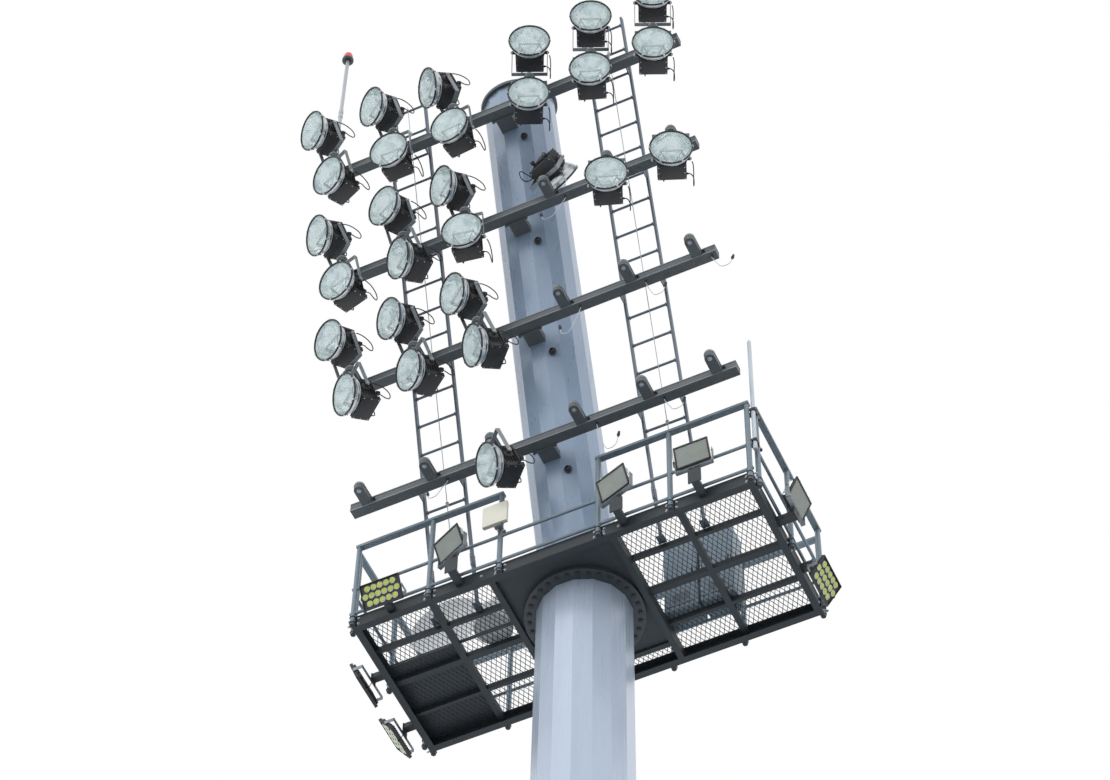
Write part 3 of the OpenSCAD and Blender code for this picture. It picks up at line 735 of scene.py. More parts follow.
def floodlight_mesh():
    """Round floodlight about its tilt axis: rim, glass, reflector, bowl,
    finned housing, gear tray, knob, gland and tilt bolts."""
    s = Shape("rim", "glass", "reflector", "burner", "spun", "black", "bolt", "rubber")
    front = facing_front()
    # rolled rim with its inner lip
    s.lathe([(0.236, 0.199), (0.247, 0.197), (0.254, 0.202), (0.255, 0.212), (0.252, 0.219),
             (0.244, 0.221), (0.238, 0.217), (0.236, 0.209), (0.236, 0.199)], "rim", front, 48)
    # slightly domed glass
    s.lathe([(0.237, 0.208), (0.18, 0.2105), (0.10, 0.2125), (0, 0.213)], "glass", front, 40)
    # facetted reflector behind it, open at the front
    s.lathe([(0.235, 0.204), (0.225, 0.172), (0.205, 0.140), (0.170, 0.110), (0.115, 0.091),
             (0.045, 0.084), (0, 0.084)], "reflector", front, 40)
    # burner tube with its end caps, and the shield in front of it
    s.rod((-0.085, -0.150, 0), (0.085, -0.150, 0), 0.015, "burner", 12)
    for side in (-1, 1):
        s.rod((side * 0.085, -0.150, 0), (side * 0.125, -0.150, 0), 0.010, "bolt", 10)
        s.slab(side * 0.125, 0.006, (-0.160, -0.012), (-0.098, 0.012), "bolt")
        # its wire, from the cap to the reflector's lower half
        bends = [(side * 0.122, -0.158, -0.010), (side * 0.112, -0.168, -0.050),
                 (side * 0.086, -0.158, -0.095), (side * 0.062, -0.122, -0.125),
                 (side * 0.055, -0.098, -0.128)]
        s.tube(smooth_path(bends, 3), 0.0045, "black", 6)
    # spun bowl with two rolled beads
    s.lathe([(0.249, 0.200), (0.244, 0.186), (0.236, 0.170), (0.231, 0.160), (0.233, 0.156),
             (0.228, 0.151), (0.216, 0.130), (0.208, 0.119), (0.209, 0.115), (0.204, 0.111),
             (0.190, 0.092), (0.178, 0.080), (0, 0.080)], "spun", front, 48)
    # clips that hold the glass ring
    for k in range(6):
        turn = spin(60 * k + 30, "Y")
        s.slab(0, 0.012, (-0.222, 0.243), (-0.196, 0.258), "bolt", turn, 0.002)
        s.slab(0, 0.007, (-0.200, 0.236), (-0.168, 0.249), "bolt", turn, 0.002)
    # housing with cooling fins on its top, its back and its sides
    s.slab(0, 0.150, (-0.083, -0.150), (0.122, 0.150), "black", None, 0.018)
    s.lathe([(0.178, 0.084), (0.170, 0.070), (0.158, 0.060), (0.150, 0.050), (0, 0.050)],
            "black", front, 32)
    for k in range(9):
        x = -0.132 + 0.033 * k
        s.slab(x, 0.003, (-0.070, -0.146), (0.134, 0.168), "black", None, 0.0)
    for side in (-1, 1):
        for k in range(5):
            y = -0.055 + 0.036 * k
            s.slab(side * 0.159, 0.010, (y - 0.003, -0.115), (y + 0.003, 0.115), "black")
    # gear tray below with its lid, screws and drip edge
    s.slab(0, 0.168, (-0.098, -0.203), (0.133, -0.150), "black", None, 0.008)
    s.slab(0, 0.170, (-0.100, -0.160), (0.135, -0.152), "black", None, 0.002)
    for x in (-0.150, 0.150):
        for y in (-0.080, 0.015, 0.110):
            s.disc(0.008, -0.2045, -0.198, "bolt", Matrix.Translation((x, y, 0)), 8)
    # back cover and relamping knob
    back = spin(-90, "X")
    s.lathe([(0, 0.120), (0.074, 0.120), (0.075, 0.150), (0.068, 0.160), (0.050, 0.166),
             (0.020, 0.174), (0, 0.174)], "black", back, 28)
    knob = Matrix.Translation((0.110, 0, -0.020)) @ back
    s.lathe([(0, 0.120), (0.018, 0.120), (0.018, 0.150), (0.027, 0.156), (0.028, 0.190),
             (0.024, 0.198), (0, 0.199)], "black", knob, 12)
    for k in range(3):
        turn = knob @ spin(120 * k, "Z")
        s.box((0.020, -0.006, 0.160), (0.028, 0.006, 0.197), "black", turn, 0.002)
    # cable gland and the short lead from the tray to the housing
    s.lathe([(0, 0.125), (0.016, 0.125), (0.016, 0.140), (0.012, 0.150), (0, 0.150)], "rubber",
            Matrix.Translation((-0.100, 0, -0.176)) @ back, 12)
    lead = [(-0.100, 0.145, -0.176), (-0.100, 0.165, -0.178), (-0.098, 0.186, -0.170),
            (-0.095, 0.196, -0.140), (-0.092, 0.197, -0.095), (-0.090, 0.192, -0.050),
            (-0.088, 0.176, -0.022), (-0.086, 0.150, -0.012), (-0.086, 0.118, -0.010)]
    s.tube(smooth_path(lead, 3), 0.0065, "rubber", 8)
    # supply lead: from the tray's side down in a loop and up to the tilt boss
    s.rod((0.166, 0.060, -0.176), (0.190, 0.060, -0.176), 0.013, "rubber", 10)
    supply = [(0.188, 0.060, -0.176), (0.216, 0.064, -0.182), (0.244, 0.082, -0.214),
              (0.250, 0.126, -0.262), (0.246, 0.180, -0.262), (0.244, 0.214, -0.205),
              (0.246, 0.205, -0.130), (0.250, 0.140, -0.065), (0.246, 0.070, -0.032),
              (0.236, 0.030, -0.020)]
    s.tube(smooth_path(supply, 4), 0.0065, "rubber", 8)
    # bosses, tilt bolts, washers and the tilt scale outside the yoke
    for side in (-1, 1):
        out = spin(side * 90, "Y")
        s.lathe([(0, 0.150), (0.060, 0.150), (0.056, 0.168), (0.022, 0.180), (0.022, 0.2095),
                 (0, 0.2095)], "black", out, 24)
        s.disc(0.0098, 0.205, 0.2185, "bolt", out, 16)
        s.disc(0.020, 0.2185, 0.2215, "bolt", out, 20)
        s.lathe([(0, 0.2215), (0.0165, 0.2215), (0.0165, 0.2320), (0.0150, 0.2345), (0, 0.2345)],
                "bolt", out, 6)
    return s.mesh("floodlight", 32)


def smooth_path(points, steps):
    """Rounds a line of points with a Catmull-Rom curve."""
    points = [Vector(p) for p in points]
    full = [points[0] * 2 - points[1], *points, points[-1] * 2 - points[-2]]
    out = []
    for a, b, c, d in zip(full, full[1:], full[2:], full[3:]):
        for k in range(steps):
            t = k / steps
            out.append(0.5 * ((2 * b) + (c - a) * t + (2 * a - 5 * b + 4 * c - d) * t ** 2
                              + (3 * b - a - 3 * c + d) * t ** 3))
    return out + [points[-1]]


def make_floodlights():
    model = floodlight_mesh()
    for joint in frame["joints"]:
        code = joint["name"].removeprefix("tilt_")
        pan = math.atan2(joint["axis"][1], joint["axis"][0])
        where = (
            Matrix.Translation(joint["pos_m"])
            @ Matrix.Rotation(pan, 4, "Z")
            @ spin(TILTS[code], "X")
        )
        data = model.copy()
        data.transform(where)
        place(data, "lamp_" + code, joint["child"], ("floodlight_" + code,))
    bpy.data.meshes.remove(model)


# Mast and crossarms


def circle_points(count, radius, z, direction):
    """Points on a circle, the first one half a step from +X."""
    return [
        ((radius * math.cos(a), radius * math.sin(a), z), direction)
        for a in (math.tau * (k + 0.5) / count for k in range(count))
    ]


def make_mast_finish():
    nodes = frame["nodes"]
    finishes = {
        "shaft": ["shaft_lower", "shaft_middle", "shaft_upper", "base_door"],
        "head": ["head_tube"],
        "zinc": ["base_flange", "handrail_front", "handrail_back", "handrail_ends"],
        "ladder": ["ladder_left", "ladder_right"],
        "crossarm": ["crossarm_1", "crossarm_2", "crossarm_3", "crossarm_4", "crossarm_stubs",
                     "head_cap"],
        "yoke": ["yokes_1", "yokes_2", "yokes_3", "yokes_4"],
        "deck": ["deck_frame", "deck_plates"],
    }
    for finish, names in finishes.items():
        for name in names:
            data = nodes[name].data
            data.materials.clear()
            data.materials.append(MATERIALS[finish])


def make_mast_fixings():
    down, up = (0, 0, -1), (0, 0, 1)
    # painted shade: the kink's bolts take the dark deck finish instead of bolt zinc, for the shade under
    # the deck
    copies("kink_bolts_below", circle_points(*KINK_BOLTS, DECK_Z - 0.010, down),
           bolt_head(0.017, 0.014), "deck")
    copies("kink_bolts_above", circle_points(*KINK_BOLTS, DECK_Z + 0.050, up),
           bolt_head(0.017, 0.014, 0.035), "deck")
    copies("anchor_nuts", circle_points(*ANCHORS, 0.050, up),
           bolt_head(0.040, 0.040, 0.110), "bolt")
    # door: hinges, locks and a drip cap
    low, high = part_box("base_door")
    s = Shape("shaft", "bolt")
    face = high.y - 0.019
    s.box((low.x - 0.02, low.y - 0.03, high.z + 0.004),
          (high.x + 0.02, face + 0.045, high.z + 0.012), "shaft", None, 0.002)
    for f in (0.2, 0.8):
        z = low.z + f * (high.z - low.z)
        x, y = low.x - 0.002, face + 0.010
        s.rod((x, y, z - 0.05), (x, y, z + 0.07), 0.011, "bolt")
    for z in (low.z + 0.12, high.z - 0.12):
        s.rod((high.x - 0.035, face, z), (high.x - 0.035, face + 0.018, z), 0.014, "bolt", 6)
    s.finish("door_fittings", "shaft_steel")
    # earthing lug on the flange
    s = Shape("bolt", "zinc")
    s.box((-0.62, -0.560, 0.050), (-0.54, -0.535, 0.130), "zinc", None, 0.003)
    s.rod((-0.58, -0.560, 0.100), (-0.58, -0.585, 0.100), 0.012, "bolt", 6)
    s.finish("earth_lug", "galvanised")


def make_head_details():
    s = Shape("head", "bolt", "rubber")
    # a small plate on the cap, and a lifting eye
    lean = Matrix.Translation((0, 0, KINK_Z)) @ Matrix.Rotation(LEAN, 4, "X")
    s.tube([(0.02 * math.cos(a), 0, HEAD_TOP + 0.045 + 0.02 * math.sin(a)) for a in
            (math.tau * k / 16 for k in range(17))], 0.006, "bolt", 8, lean, False)
    s.slab(0, 0.05, (-0.03, HEAD_TOP), (0.03, HEAD_TOP + 0.010), "head", lean, 0.002)
    # cable glands in the head's front below each crossarm
    for n in range(1, 5):
        z = beam_z(n) - 0.17
        y = axis_y(z) - 0.452
        outward = Matrix.Translation((0.17, y, z)) @ spin(105, "X")
        s.lathe([(0, -0.01), (0.045, -0.01), (0.045, 0.008), (0.030, 0.012), (0.030, 0.030),
                 (0.022, 0.036), (0.022, 0.020), (0, 0.020)], "rubber", outward, 20)
    s.finish("head_details", "head_steel")


def make_crossarm_details():
    arm_points, strap = [], Shape("bolt", "rubber", "crossarm", "yoke")
    for n in range(1, 5):
        z, y = beam_z(n), beam_y(n)
        for x in COLUMNS:
            tip = y - ARM_REACH + ARM_END_R
            for face, direction in ((z + 0.1, 1), (z, -1)):
                arm_points.append(((x, tip, face), (0, 0, direction)))
            # light washer plate along the arm's round end
            ring = [(x + 0.062 * math.cos(a), tip + 0.062 * math.sin(a), z + 0.074) for a in
                    (math.pi + math.pi * k / 12 for k in range(13))]
            strap.tube(ring, 0.005, "bolt", 6)
            for edge in (x - 0.062, x + 0.062):
                strap.tube([(edge, tip, z + 0.074), (edge, y - 0.002, z + 0.074)], 0.005, "bolt", 6)
            # junction gland where the arm meets the tube
            gland = x + 0.085
            strap.rod((gland, y + 0.004, z + 0.06), (gland, y - 0.030, z + 0.06), 0.013, "rubber", 10)
        # flanges between stand-off and crossarm
        for dx in (-0.125, 0.125):
            for dz in (-0.012, 0.132):
                arm_points.append(((dx, y + BEAM + 0.0143, z + dz), (0, 1, 0)))
        # end caps
        for side in (-1, 1):
            x = side * (HALF_BEAM - 0.006)
            strap.slab(x, 0.004, (y + 0.009, z + 0.009), (y + BEAM - 0.009, z + BEAM - 0.009),
                      "crossarm", None, 0.001)
        # rolled edges along the front face
        for edge in (z - 0.003, z + BEAM - 0.009):
            strap.slab(0, HALF_BEAM, (y - 0.007, edge), (y + 0.001, edge + 0.012), "yoke", None, 0.002)
        # cable duct along the back of the top face
        strap.slab(0, HALF_BEAM - 0.10, (y + 0.070, z + BEAM), (y + 0.110, z + BEAM + 0.020),
                   "crossarm", None, 0.003)
    strap.finish("crossarm_trim", "crossarm_steel")
    copies("crossarm_bolts", arm_points, bolt_head(0.014, 0.012), "bolt")


# Deck


def make_floors():
    z = DECK_TOP + 0.001
    front_left, back_left, behind, right = PANELS
    (x0, y0), (x1, y1) = behind
    left = joined([
        expanded_metal("floor_a", *front_left, z),
        expanded_metal("floor_b", *back_left, z),
        expanded_metal("floor_c", (x0, y0), (0.0, y1), z),
        expanded_metal("floor_under_cover", *COVERED, DECK_TOP - 0.0056),
    ], "left_floor")
    right = joined([
        expanded_metal("floor_d", *right, z),
        expanded_metal("floor_e", (0.0, y0), (x1, y1), z),
    ], "right_floor")
    place(left, "left_floor", MAST, ("mesh_floor_left",))
    place(right, "right_floor", MAST, ("mesh_floor_right",))
    # flat bars round each panel
    s, bar = Shape("lattice"), 0.022
    for (x0, y0), (x1, y1) in PANELS:
        for low, high in (((x0, y0), (x1, y0 + bar)), ((x0, y1 - bar), (x1, y1)),
                          ((x0, y0), (x0 + bar, y1)), ((x1 - bar, y0), (x1, y1))):
            s.box((*low, DECK_TOP + 0.0006), (*high, DECK_TOP + 0.0062), "lattice", None, 0.001)
    s.finish("floor_edges", "mesh_steel")


def make_deck_details():
    s = Shape("deck", "bolt", "zinc")
    # bead round the collar of the plate
    ring = [(0.66 * math.cos(a), 0.66 * math.sin(a), DECK_Z + 0.044) for a in
            (math.tau * k / 48 for k in range(49))]
    s.tube(ring, 0.008, "deck", 8, None, False)
    # cover's handle and hinges in the left back cell
    for y in (0.02, 0.86):
        s.rod((-1.49, y, DECK_TOP + 0.010), (-1.49, y + 0.10, DECK_TOP + 0.010), 0.007, "bolt")
    handle = smooth_path([(-2.24, 0.36, DECK_TOP + 0.006), (-2.24, 0.37, DECK_TOP + 0.032),
                          (-2.24, 0.45, DECK_TOP + 0.036), (-2.24, 0.53, DECK_TOP + 0.032),
                          (-2.24, 0.54, DECK_TOP + 0.006)], 4)
    s.tube(handle, 0.006, "zinc", 8)
    # toe kerb round the deck's edge
    for y in (DECK_FRONT + 0.004, DECK_BACK - 0.010):
        s.slab(0, DECK_X - 0.004, (y, DECK_TOP), (y + 0.006, DECK_TOP + 0.030), "deck", None, 0.001)
    for x in (-DECK_X + 0.004, DECK_X - 0.010):
        s.box((x, DECK_FRONT + 0.01, DECK_TOP), (x + 0.006, DECK_BACK - 0.01, DECK_TOP + 0.030),
              "deck", None, 0.001)
    s.finish("deck_details", "deck_steel")
    # bolts of posts, joists and corners
    points = []
    for y, out in ((DECK_FRONT, -1), (DECK_BACK, 1)):
        for x in POSTS:
            for dx in (-0.055, 0.055):
                for z in STRAPS:
                    points.append(((x + dx, y, z), (0, out, 0)))
        for x in (-0.72, 0.72):
            for dx in (-0.09, 0.09):
                points.append(((x + dx, y, DECK_Z + 0.08), (0, out, 0)))
    for side in (-1, 1):
        for y in END_POSTS:
            for dy in (-0.055, 0.055):
                for z in STRAPS:
                    points.append(((side * DECK_X, y + dy, z), (side, 0, 0)))
    copies("deck_bolts", points, bolt_head(0.010, 0.009), "bolt")


def make_handrail_details():
    """Straps that hold the posts to the channels, plugs in open tubes, and
    sleeves where rails cross posts."""
    s = Shape("zinc", "rubber", "deck")
    round_post = [(0.034 * math.cos(a), POST_OUT + 0.034 * math.sin(a)) for a in
                  (math.pi * k / 10 for k in range(11))]

    def foot_plug(x, y):
        s.lathe([(0, -0.004), (0.026, -0.004), (0.030, 0.004), (0.031, 0.020)], "rubber",
                Matrix.Translation((x, y, DECK_Z)), 16)

    for y, out in ((DECK_FRONT, -1), (DECK_BACK, 1)):
        for x in POSTS:
            band = [(0.066, 0.004), (0.036, 0.006), *round_post, (-0.036, 0.006), (-0.066, 0.004)]
            for z in STRAPS:
                s.tube([(x + along, y + out * off, z) for along, off in band], 0.005, "deck", 6)
            foot_plug(x, y + out * POST_OUT)
    for side in (-1, 1):
        for y in END_POSTS:
            for z in STRAPS:
                s.tube([(side * (DECK_X + off), y + along, z) for along, off in round_post],
                       0.005, "deck", 6)
            foot_plug(side * (DECK_X + POST_OUT), y)
        # caps on the ends of the lower rails
        for y in (DECK_FRONT - POST_OUT, DECK_BACK + POST_OUT):
            for z in LOW_RAILS:
                s.rod((side * 2.383, y, z), (side * 2.391, y, z), 0.0195, "rubber", 16)
    for y in (DECK_FRONT - POST_OUT, DECK_BACK + POST_OUT):
        for x in POSTS:
            for z in LOW_RAILS:
                s.rod((x - 0.040, y, z), (x + 0.040, y, z), 0.0225, "zinc", 16)
    s.finish("handrail_trim", "galvanised")


def make_ladder_details():
    """Sleeves on the ladder legs, rung collars and the fall-arrest wires."""
    s = Shape("ladder", "bolt", "rubber")
    lean = Matrix.Rotation(LEAN, 4, "X")
    foot_z = DECK_TOP + 0.0063
    foot_y = axis_y(DECK_TOP + 0.006) - 0.52
    first = (beam_z(4) - 0.11 - DECK_TOP - 0.006) / math.cos(LEAN)
    for middle in LADDERS:
        where = Matrix.Translation((middle, foot_y, foot_z)) @ lean
        for side in (-1, 1):
            x = side * 0.2525
            s.slab(x, 0.019, (-0.006, 0.55), (0.066, 0.72), "ladder", where, 0.004)
            for up in (0.59, 0.68):
                s.rod((x, -0.016, up), (x, 0.076, up), 0.007, "bolt", 6, where)
            k = first
            while k < LADDER_END:
                s.slab(x - side * 0.030, 0.004, (0.012, k - 0.019), (0.048, k + 0.019),
                      "ladder", where, 0.002)
                k += RUNG_PITCH
        # fall-arrest wire at the middle of the rungs, with its end fitting
        s.rod((0.03, -0.004, 0.92), (0.03, -0.004, 8.02), 0.005, "bolt", 8, where)
        s.rod((0.03, -0.004, 0.86), (0.03, -0.004, 0.94), 0.012, "rubber", 10, where)
        for up in (first, first + RUNG_PITCH * 14):
            s.box((0.012, -0.010, up - 0.02), (0.048, 0.020, up + 0.02), "bolt", where, 0.003)
    s.finish("ladder_trim", "galvanised")


# Fittings


def edge_place(side, along):
    """On an edge channel's face, with -Y pointing outwards. Side 0 is the
    front, -1 the left end and 1 the right end."""
    where = (along, DECK_FRONT, DECK_Z) if side == 0 else (side * DECK_X, along, DECK_Z)
    return Matrix.Translation(where) @ Matrix.Rotation(side * math.radians(90), 4, "Z")


WORK_LAMPS = [(0, -1.07, 0.52, -24, 22), (0, 0.88, 0.52, -18, 20), (0, 1.79, 0.52, 0, 18),
              (1, -0.25, 0.38, 0, 24)]
LENS_PANELS = [(0, -1.89, 0.09, 30, "lens"), (-1, -0.13, 0.02, 20, "pale_lens"),
               (-1, 0.65, -0.03, 35, "lens"), (1, 0.42, -0.26, 35, "lens")]


def make_work_lamps():
    s = Shape("black", "lamp_glass", "reflector", "burner", "yoke", "bolt", "deck", "rubber")
    for side, along, z, pan, tilt in WORK_LAMPS:
        edge = edge_place(side, along)
        # arm from the channel and upright plate
        s.slab(0, 0.040, (-0.210, 0.050), (-0.0003, 0.140), "deck", edge, 0.004)
        s.plate([(-0.075, 0.05), (0.075, 0.05), (0.075, z - 0.262), (0.055, z - 0.2005),
                 (-0.055, z - 0.2005), (-0.075, z - 0.262)], 0.210, 0.222, "deck",
                edge @ spin(90, "X"))
        turned = edge @ Matrix.Translation((0, -0.210, z)) @ spin(pan, "Z")
        s.slab(0, 0.216, (-0.025, -0.212), (0.025, -0.206), "yoke", turned, 0.0015)
        for k in (-1, 1):
            s.slab(k * 0.213, 0.003, (-0.025, -0.212), (0.025, 0.028), "yoke", turned, 0.0015)
            s.rod((k * 0.198, 0, 0), (k * 0.216, 0, 0), 0.012, "bolt", 12, turned)
        s.rod((0, 0, -0.222), (0, 0, -0.196), 0.014, "bolt", 6, turned)
        body = turned @ spin(tilt, "X")
        # hinged glass frame, glass, trough reflector and tube
        s.border(0.200, 0.145, 0.018, (-0.070, -0.050), "black", body, 0.003)
        s.slab(0, 0.184, (-0.0625, -0.129), (-0.0585, 0.129), "lamp_glass", body)
        trough = [(-0.125, -0.052), (-0.118, -0.020), (-0.085, 0.015), (-0.035, 0.030), (0.035, 0.030),
                  (0.085, 0.015), (0.118, -0.020), (0.125, -0.052)]
        for (z0, y0), (z1, y1) in zip(trough, trough[1:]):
            wide = math.hypot(z1 - z0, y1 - y0)
            turn = Matrix.Rotation(math.atan2(z1 - z0, y1 - y0), 4, "X")
            s.plate([(-0.178, 0), (0.178, 0), (0.178, wide), (-0.178, wide)], -0.001, 0.0,
                    "reflector", body @ Matrix.Translation((0, y0, z0)) @ turn)
        for k in (-1, 1):
            s.slab(k * 0.179, 0.001, (-0.055, -0.118), (0.030, 0.118), "reflector", body)
            s.slab(k * 0.150, 0.010, (-0.030, -0.012), (0.020, 0.012), "burner", body)
        s.rod((-0.142, -0.010, 0), (0.142, -0.010, 0), 0.006, "burner", 10, body)
        # cast back with fins, gland box and clips
        s.slab(0, 0.190, (-0.052, -0.137), (-0.046, 0.137), "black", body, 0.002)
        s.lathe([(0.262, 0.050), (0.252, 0.010), (0.205, -0.040), (0.150, -0.052), (0, -0.052)], "black",
                body @ Matrix.Diagonal((1, 1, 0.70, 1)) @ spin(90, "X")
                @ spin(45, "Z"), 4)
        for k in range(11):
            x = -0.140 + 0.028 * k
            s.slab(x, 0.0025, (-0.010, -0.100), (0.068, 0.100), "black", body)
        s.slab(0, 0.055, (0.045, -0.055), (0.070, 0.020), "black", body, 0.005)
        s.rod((0, 0.058, -0.055), (0, 0.058, -0.085), 0.011, "rubber", 10, body)
        for x in (-0.120, 0.120):
            s.slab(x, 0.012, (-0.073, 0.135), (-0.040, 0.150), "bolt", body, 0.002)
        # lead from the gland down to the bracket
        start = body @ Vector((0, 0.058, -0.085))
        low = edge @ Vector((0.035, -0.196, z - 0.30))
        end = edge @ Vector((0.030, -0.180, 0.142))
        middle = (start + low) / 2 + Vector((0, 0, -0.02))
        below = start + Vector((0, 0, -0.03))
        s.tube(smooth_path([start, below, middle, low, end], 4), 0.005, "rubber", 8)
    s.finish("work_lamps_dressed", "lamp_black", MAST, ("work_lamps",))


def make_lens_panels():
    s = Shape("black", "lens", "pale_lens", "spun", "yoke", "bolt", "deck", "rubber")
    front = facing_front()
    for side, along, z, tilt, finish in LENS_PANELS:
        edge = edge_place(side, along)
        foot = min(z - 0.025, 0.040)
        s.slab(0, 0.040, (-0.130, 0.040), (-0.0003, 0.120), "deck", edge, 0.004)
        s.box((-0.050, -0.140, foot), (0.050, -0.129, max(z, 0.120)), "deck", edge, 0.002)
        s.slab(0, 0.249, (-0.148, z - 0.025), (-0.1405, z + 0.025), "yoke", edge, 0.0015)
        for k in (-1, 1):
            s.slab(k * 0.246, 0.003, (-0.260, z - 0.025), (-0.1405, z + 0.025), "yoke", edge, 0.0015)
            s.rod((k * 0.236, -0.240, z), (k * 0.249, -0.240, z), 0.010, "bolt", 12, edge)
            s.rod((k * 0.030, -0.136, z), (k * 0.030, -0.154, z), 0.009, "bolt", 6, edge)
        body = edge @ Matrix.Translation((0, -0.240, z)) @ spin(tilt, "X")
        # tray with its raised edge
        s.slab(0, 0.235, (-0.018, -0.150), (0.008, 0.150), "black", body, 0.005)
        s.border(0.235, 0.150, 0.010, (-0.030, -0.014), "black", body, 0.002)
        # sixteen optics in rows of five, six and five
        for row, count in ((0.088, 5), (0.0, 6), (-0.088, 5)):
            for k in range(count):
                x = (k - (count - 1) / 2) * 0.076
                at = body @ Matrix.Translation((x, 0, row)) @ front
                s.lathe([(0.0375, 0.017), (0.0375, 0.025), (0.034, 0.028), (0.033, 0.024)],
                        "spun", at, 20)
                s.lathe([(0.0335, 0.022), (0.030, 0.0265), (0.020, 0.0285), (0.008, 0.0275),
                         (0, 0.0255)], finish, at, 20)
        # fins and driver box behind
        for k in range(15):
            x = -0.210 + 0.030 * k
            s.slab(x, 0.002, (0.006, -0.130), (0.030, 0.130), "black", body)
        s.slab(0, 0.090, (0.006, -0.050), (0.030, 0.050), "black", body, 0.004)
        s.rod((0.060, 0.018, -0.050), (0.060, 0.018, -0.075), 0.009, "rubber", 10, body)
        start = body @ Vector((0.060, 0.018, -0.075))
        end = edge @ Vector((0.030, -0.100, 0.041))
        low = edge @ Vector((0.050, -0.170, min(z - 0.16, 0.0)))
        s.tube(smooth_path([start, start + Vector((0, 0, -0.02)), low, end], 5), 0.0045, "rubber", 8)
    s.finish("lens_panels_dressed", "lamp_black", MAST, ("lens_panels",))


def make_panel_antenna():
    s = Shape("cream", "bolt", "yoke", "rubber")
    x, y, z = POSTS[2], DECK_FRONT - 0.030, DECK_Z + 0.85
    s.slab(x, 0.150, (y - 0.165, z - 0.180), (y - 0.130, z + 0.180), "cream", None, 0.014)
    s.slab(x, 0.146, (y - 0.136, z - 0.176), (y - 0.116, z + 0.176), "cream", None, 0.006)
    for dx in (-0.11, 0, 0.11):
        s.slab(x + dx, 0.004, (y - 0.118, z - 0.165), (y - 0.112, z + 0.165), "cream", None, 0.001)
    for dz in (-0.1, 0.1):
        s.slab(x, 0.045, (y - 0.116, z + dz - 0.022), (y - 0.034, z + dz + 0.022), "yoke", None, 0.003)
        s.slab(x, 0.045, (y + 0.031, z + dz - 0.022), (y + 0.043, z + dz + 0.022), "yoke", None, 0.003)
        for dx in (-0.037, 0.037):
            s.rod((x + dx, y - 0.045, z + dz), (x + dx, y + 0.045, z + dz), 0.005, "bolt", 8)
    s.rod((x + 0.08, y - 0.126, z - 0.176), (x + 0.08, y - 0.126, z - 0.180), 0.010, "rubber", 10)
    s.finish("panel_antenna_dressed", "antenna_cream", MAST, ("panel_antenna",))


def make_tube_antenna():
    s = Shape("grey", "bolt", "black", "rubber")
    x, y = DECK_X + 0.030, -0.82
    ax, ay, low = x + 0.015, y - 0.095, DECK_Z + 0.55
    s.lathe([(0, 0), (0.022, 0), (0.025, 0.006), (0.025, 0.080), (0.0235, 0.084), (0.0235, 2.040),
             (0.021, 2.075), (0.014, 2.094), (0, 2.099)], "grey", Matrix.Translation((ax, ay, low)), 24)
    for z in (0.70, 1.27):
        zz = DECK_Z + z
        s.slab(x, 0.045, (y - 0.070, zz - 0.026), (y - 0.033, zz + 0.026), "black", None, 0.004)
        s.slab(x, 0.045, (y + 0.032, zz - 0.026), (y + 0.044, zz + 0.026), "black", None, 0.004)
        s.box((x - 0.020, y - 0.105, zz - 0.026), (x + 0.040, y - 0.060, zz + 0.026), "black",
              None, 0.004)
        s.slab(ax, 0.032, (ay - 0.034, zz - 0.020), (ay + 0.005, zz + 0.020), "black", None, 0.004)
        for dx in (-0.036, 0.036):
            s.rod((x + dx, y - 0.075, zz), (x + dx, y + 0.048, zz), 0.005, "bolt", 8)
    s.finish("tube_antenna_dressed", "antenna_grey", MAST, ("tube_antenna",))


def make_dish_antenna():
    s = Shape("white", "yoke", "bolt", "black")
    z = DECK_TOP + 0.0066
    s.disc(0.110, 0, 0.012, "yoke", Matrix.Translation((-1.78, 0.33, z)), 28)
    s.rod((-1.78, 0.33, z + 0.01), (-1.78, 0.33, z + 1.0), 0.038, "yoke", 24)
    for k in range(4):
        a = math.radians(45 + 90 * k)
        x, y = -1.78 + 0.088 * math.cos(a), 0.33 + 0.088 * math.sin(a)
        s.rod((x, y, z + 0.010), (x, y, z + 0.026), 0.010, "bolt", 6)
    front = Matrix.Translation((-1.78, 0.26, z + 0.75)) @ facing_front()
    s.lathe([(0, 0.012), (0.130, 0.020), (0.260, 0.052), (0.370, 0.096), (0.440, 0.140),
             (0.450, 0.146), (0.448, 0.150), (0.430, 0.142), (0.350, 0.098), (0.250, 0.060),
             (0.120, 0.032), (0, 0.026)], "white", front, 48)
    s.lathe([(0, 0.020), (0.020, 0.020), (0.020, 0.120), (0.050, 0.128), (0.050, 0.140),
             (0.012, 0.149), (0, 0.149)], "white", front, 20)
    back = Matrix.Translation((-1.78, 0.34, z + 0.75)) @ facing_front()
    s.lathe([(0, 0), (0.070, 0), (0.075, 0.006), (0.075, 0.084), (0.060, 0.090), (0, 0.090)],
            "yoke", back, 24)
    # low drum antenna on a short stem
    drum = Matrix.Translation((-1.04, -0.14, z))
    s.lathe([(0, 0.004), (0.200, 0), (0.216, 0.008), (0.220, 0.030), (0.220, 0.230), (0.214, 0.248),
             (0.195, 0.256), (0.060, 0.259), (0.034, 0.262), (0.030, 0.280), (0.030, 0.556), (0, 0.559)],
            "white", drum, 40)
    s.lathe([(0.2205, 0.060), (0.2225, 0.062), (0.2225, 0.074), (0.2205, 0.076)], "bolt", drum, 40)
    s.finish("dish_antenna_dressed", "antenna_white", MAST, ("dish_antenna",))


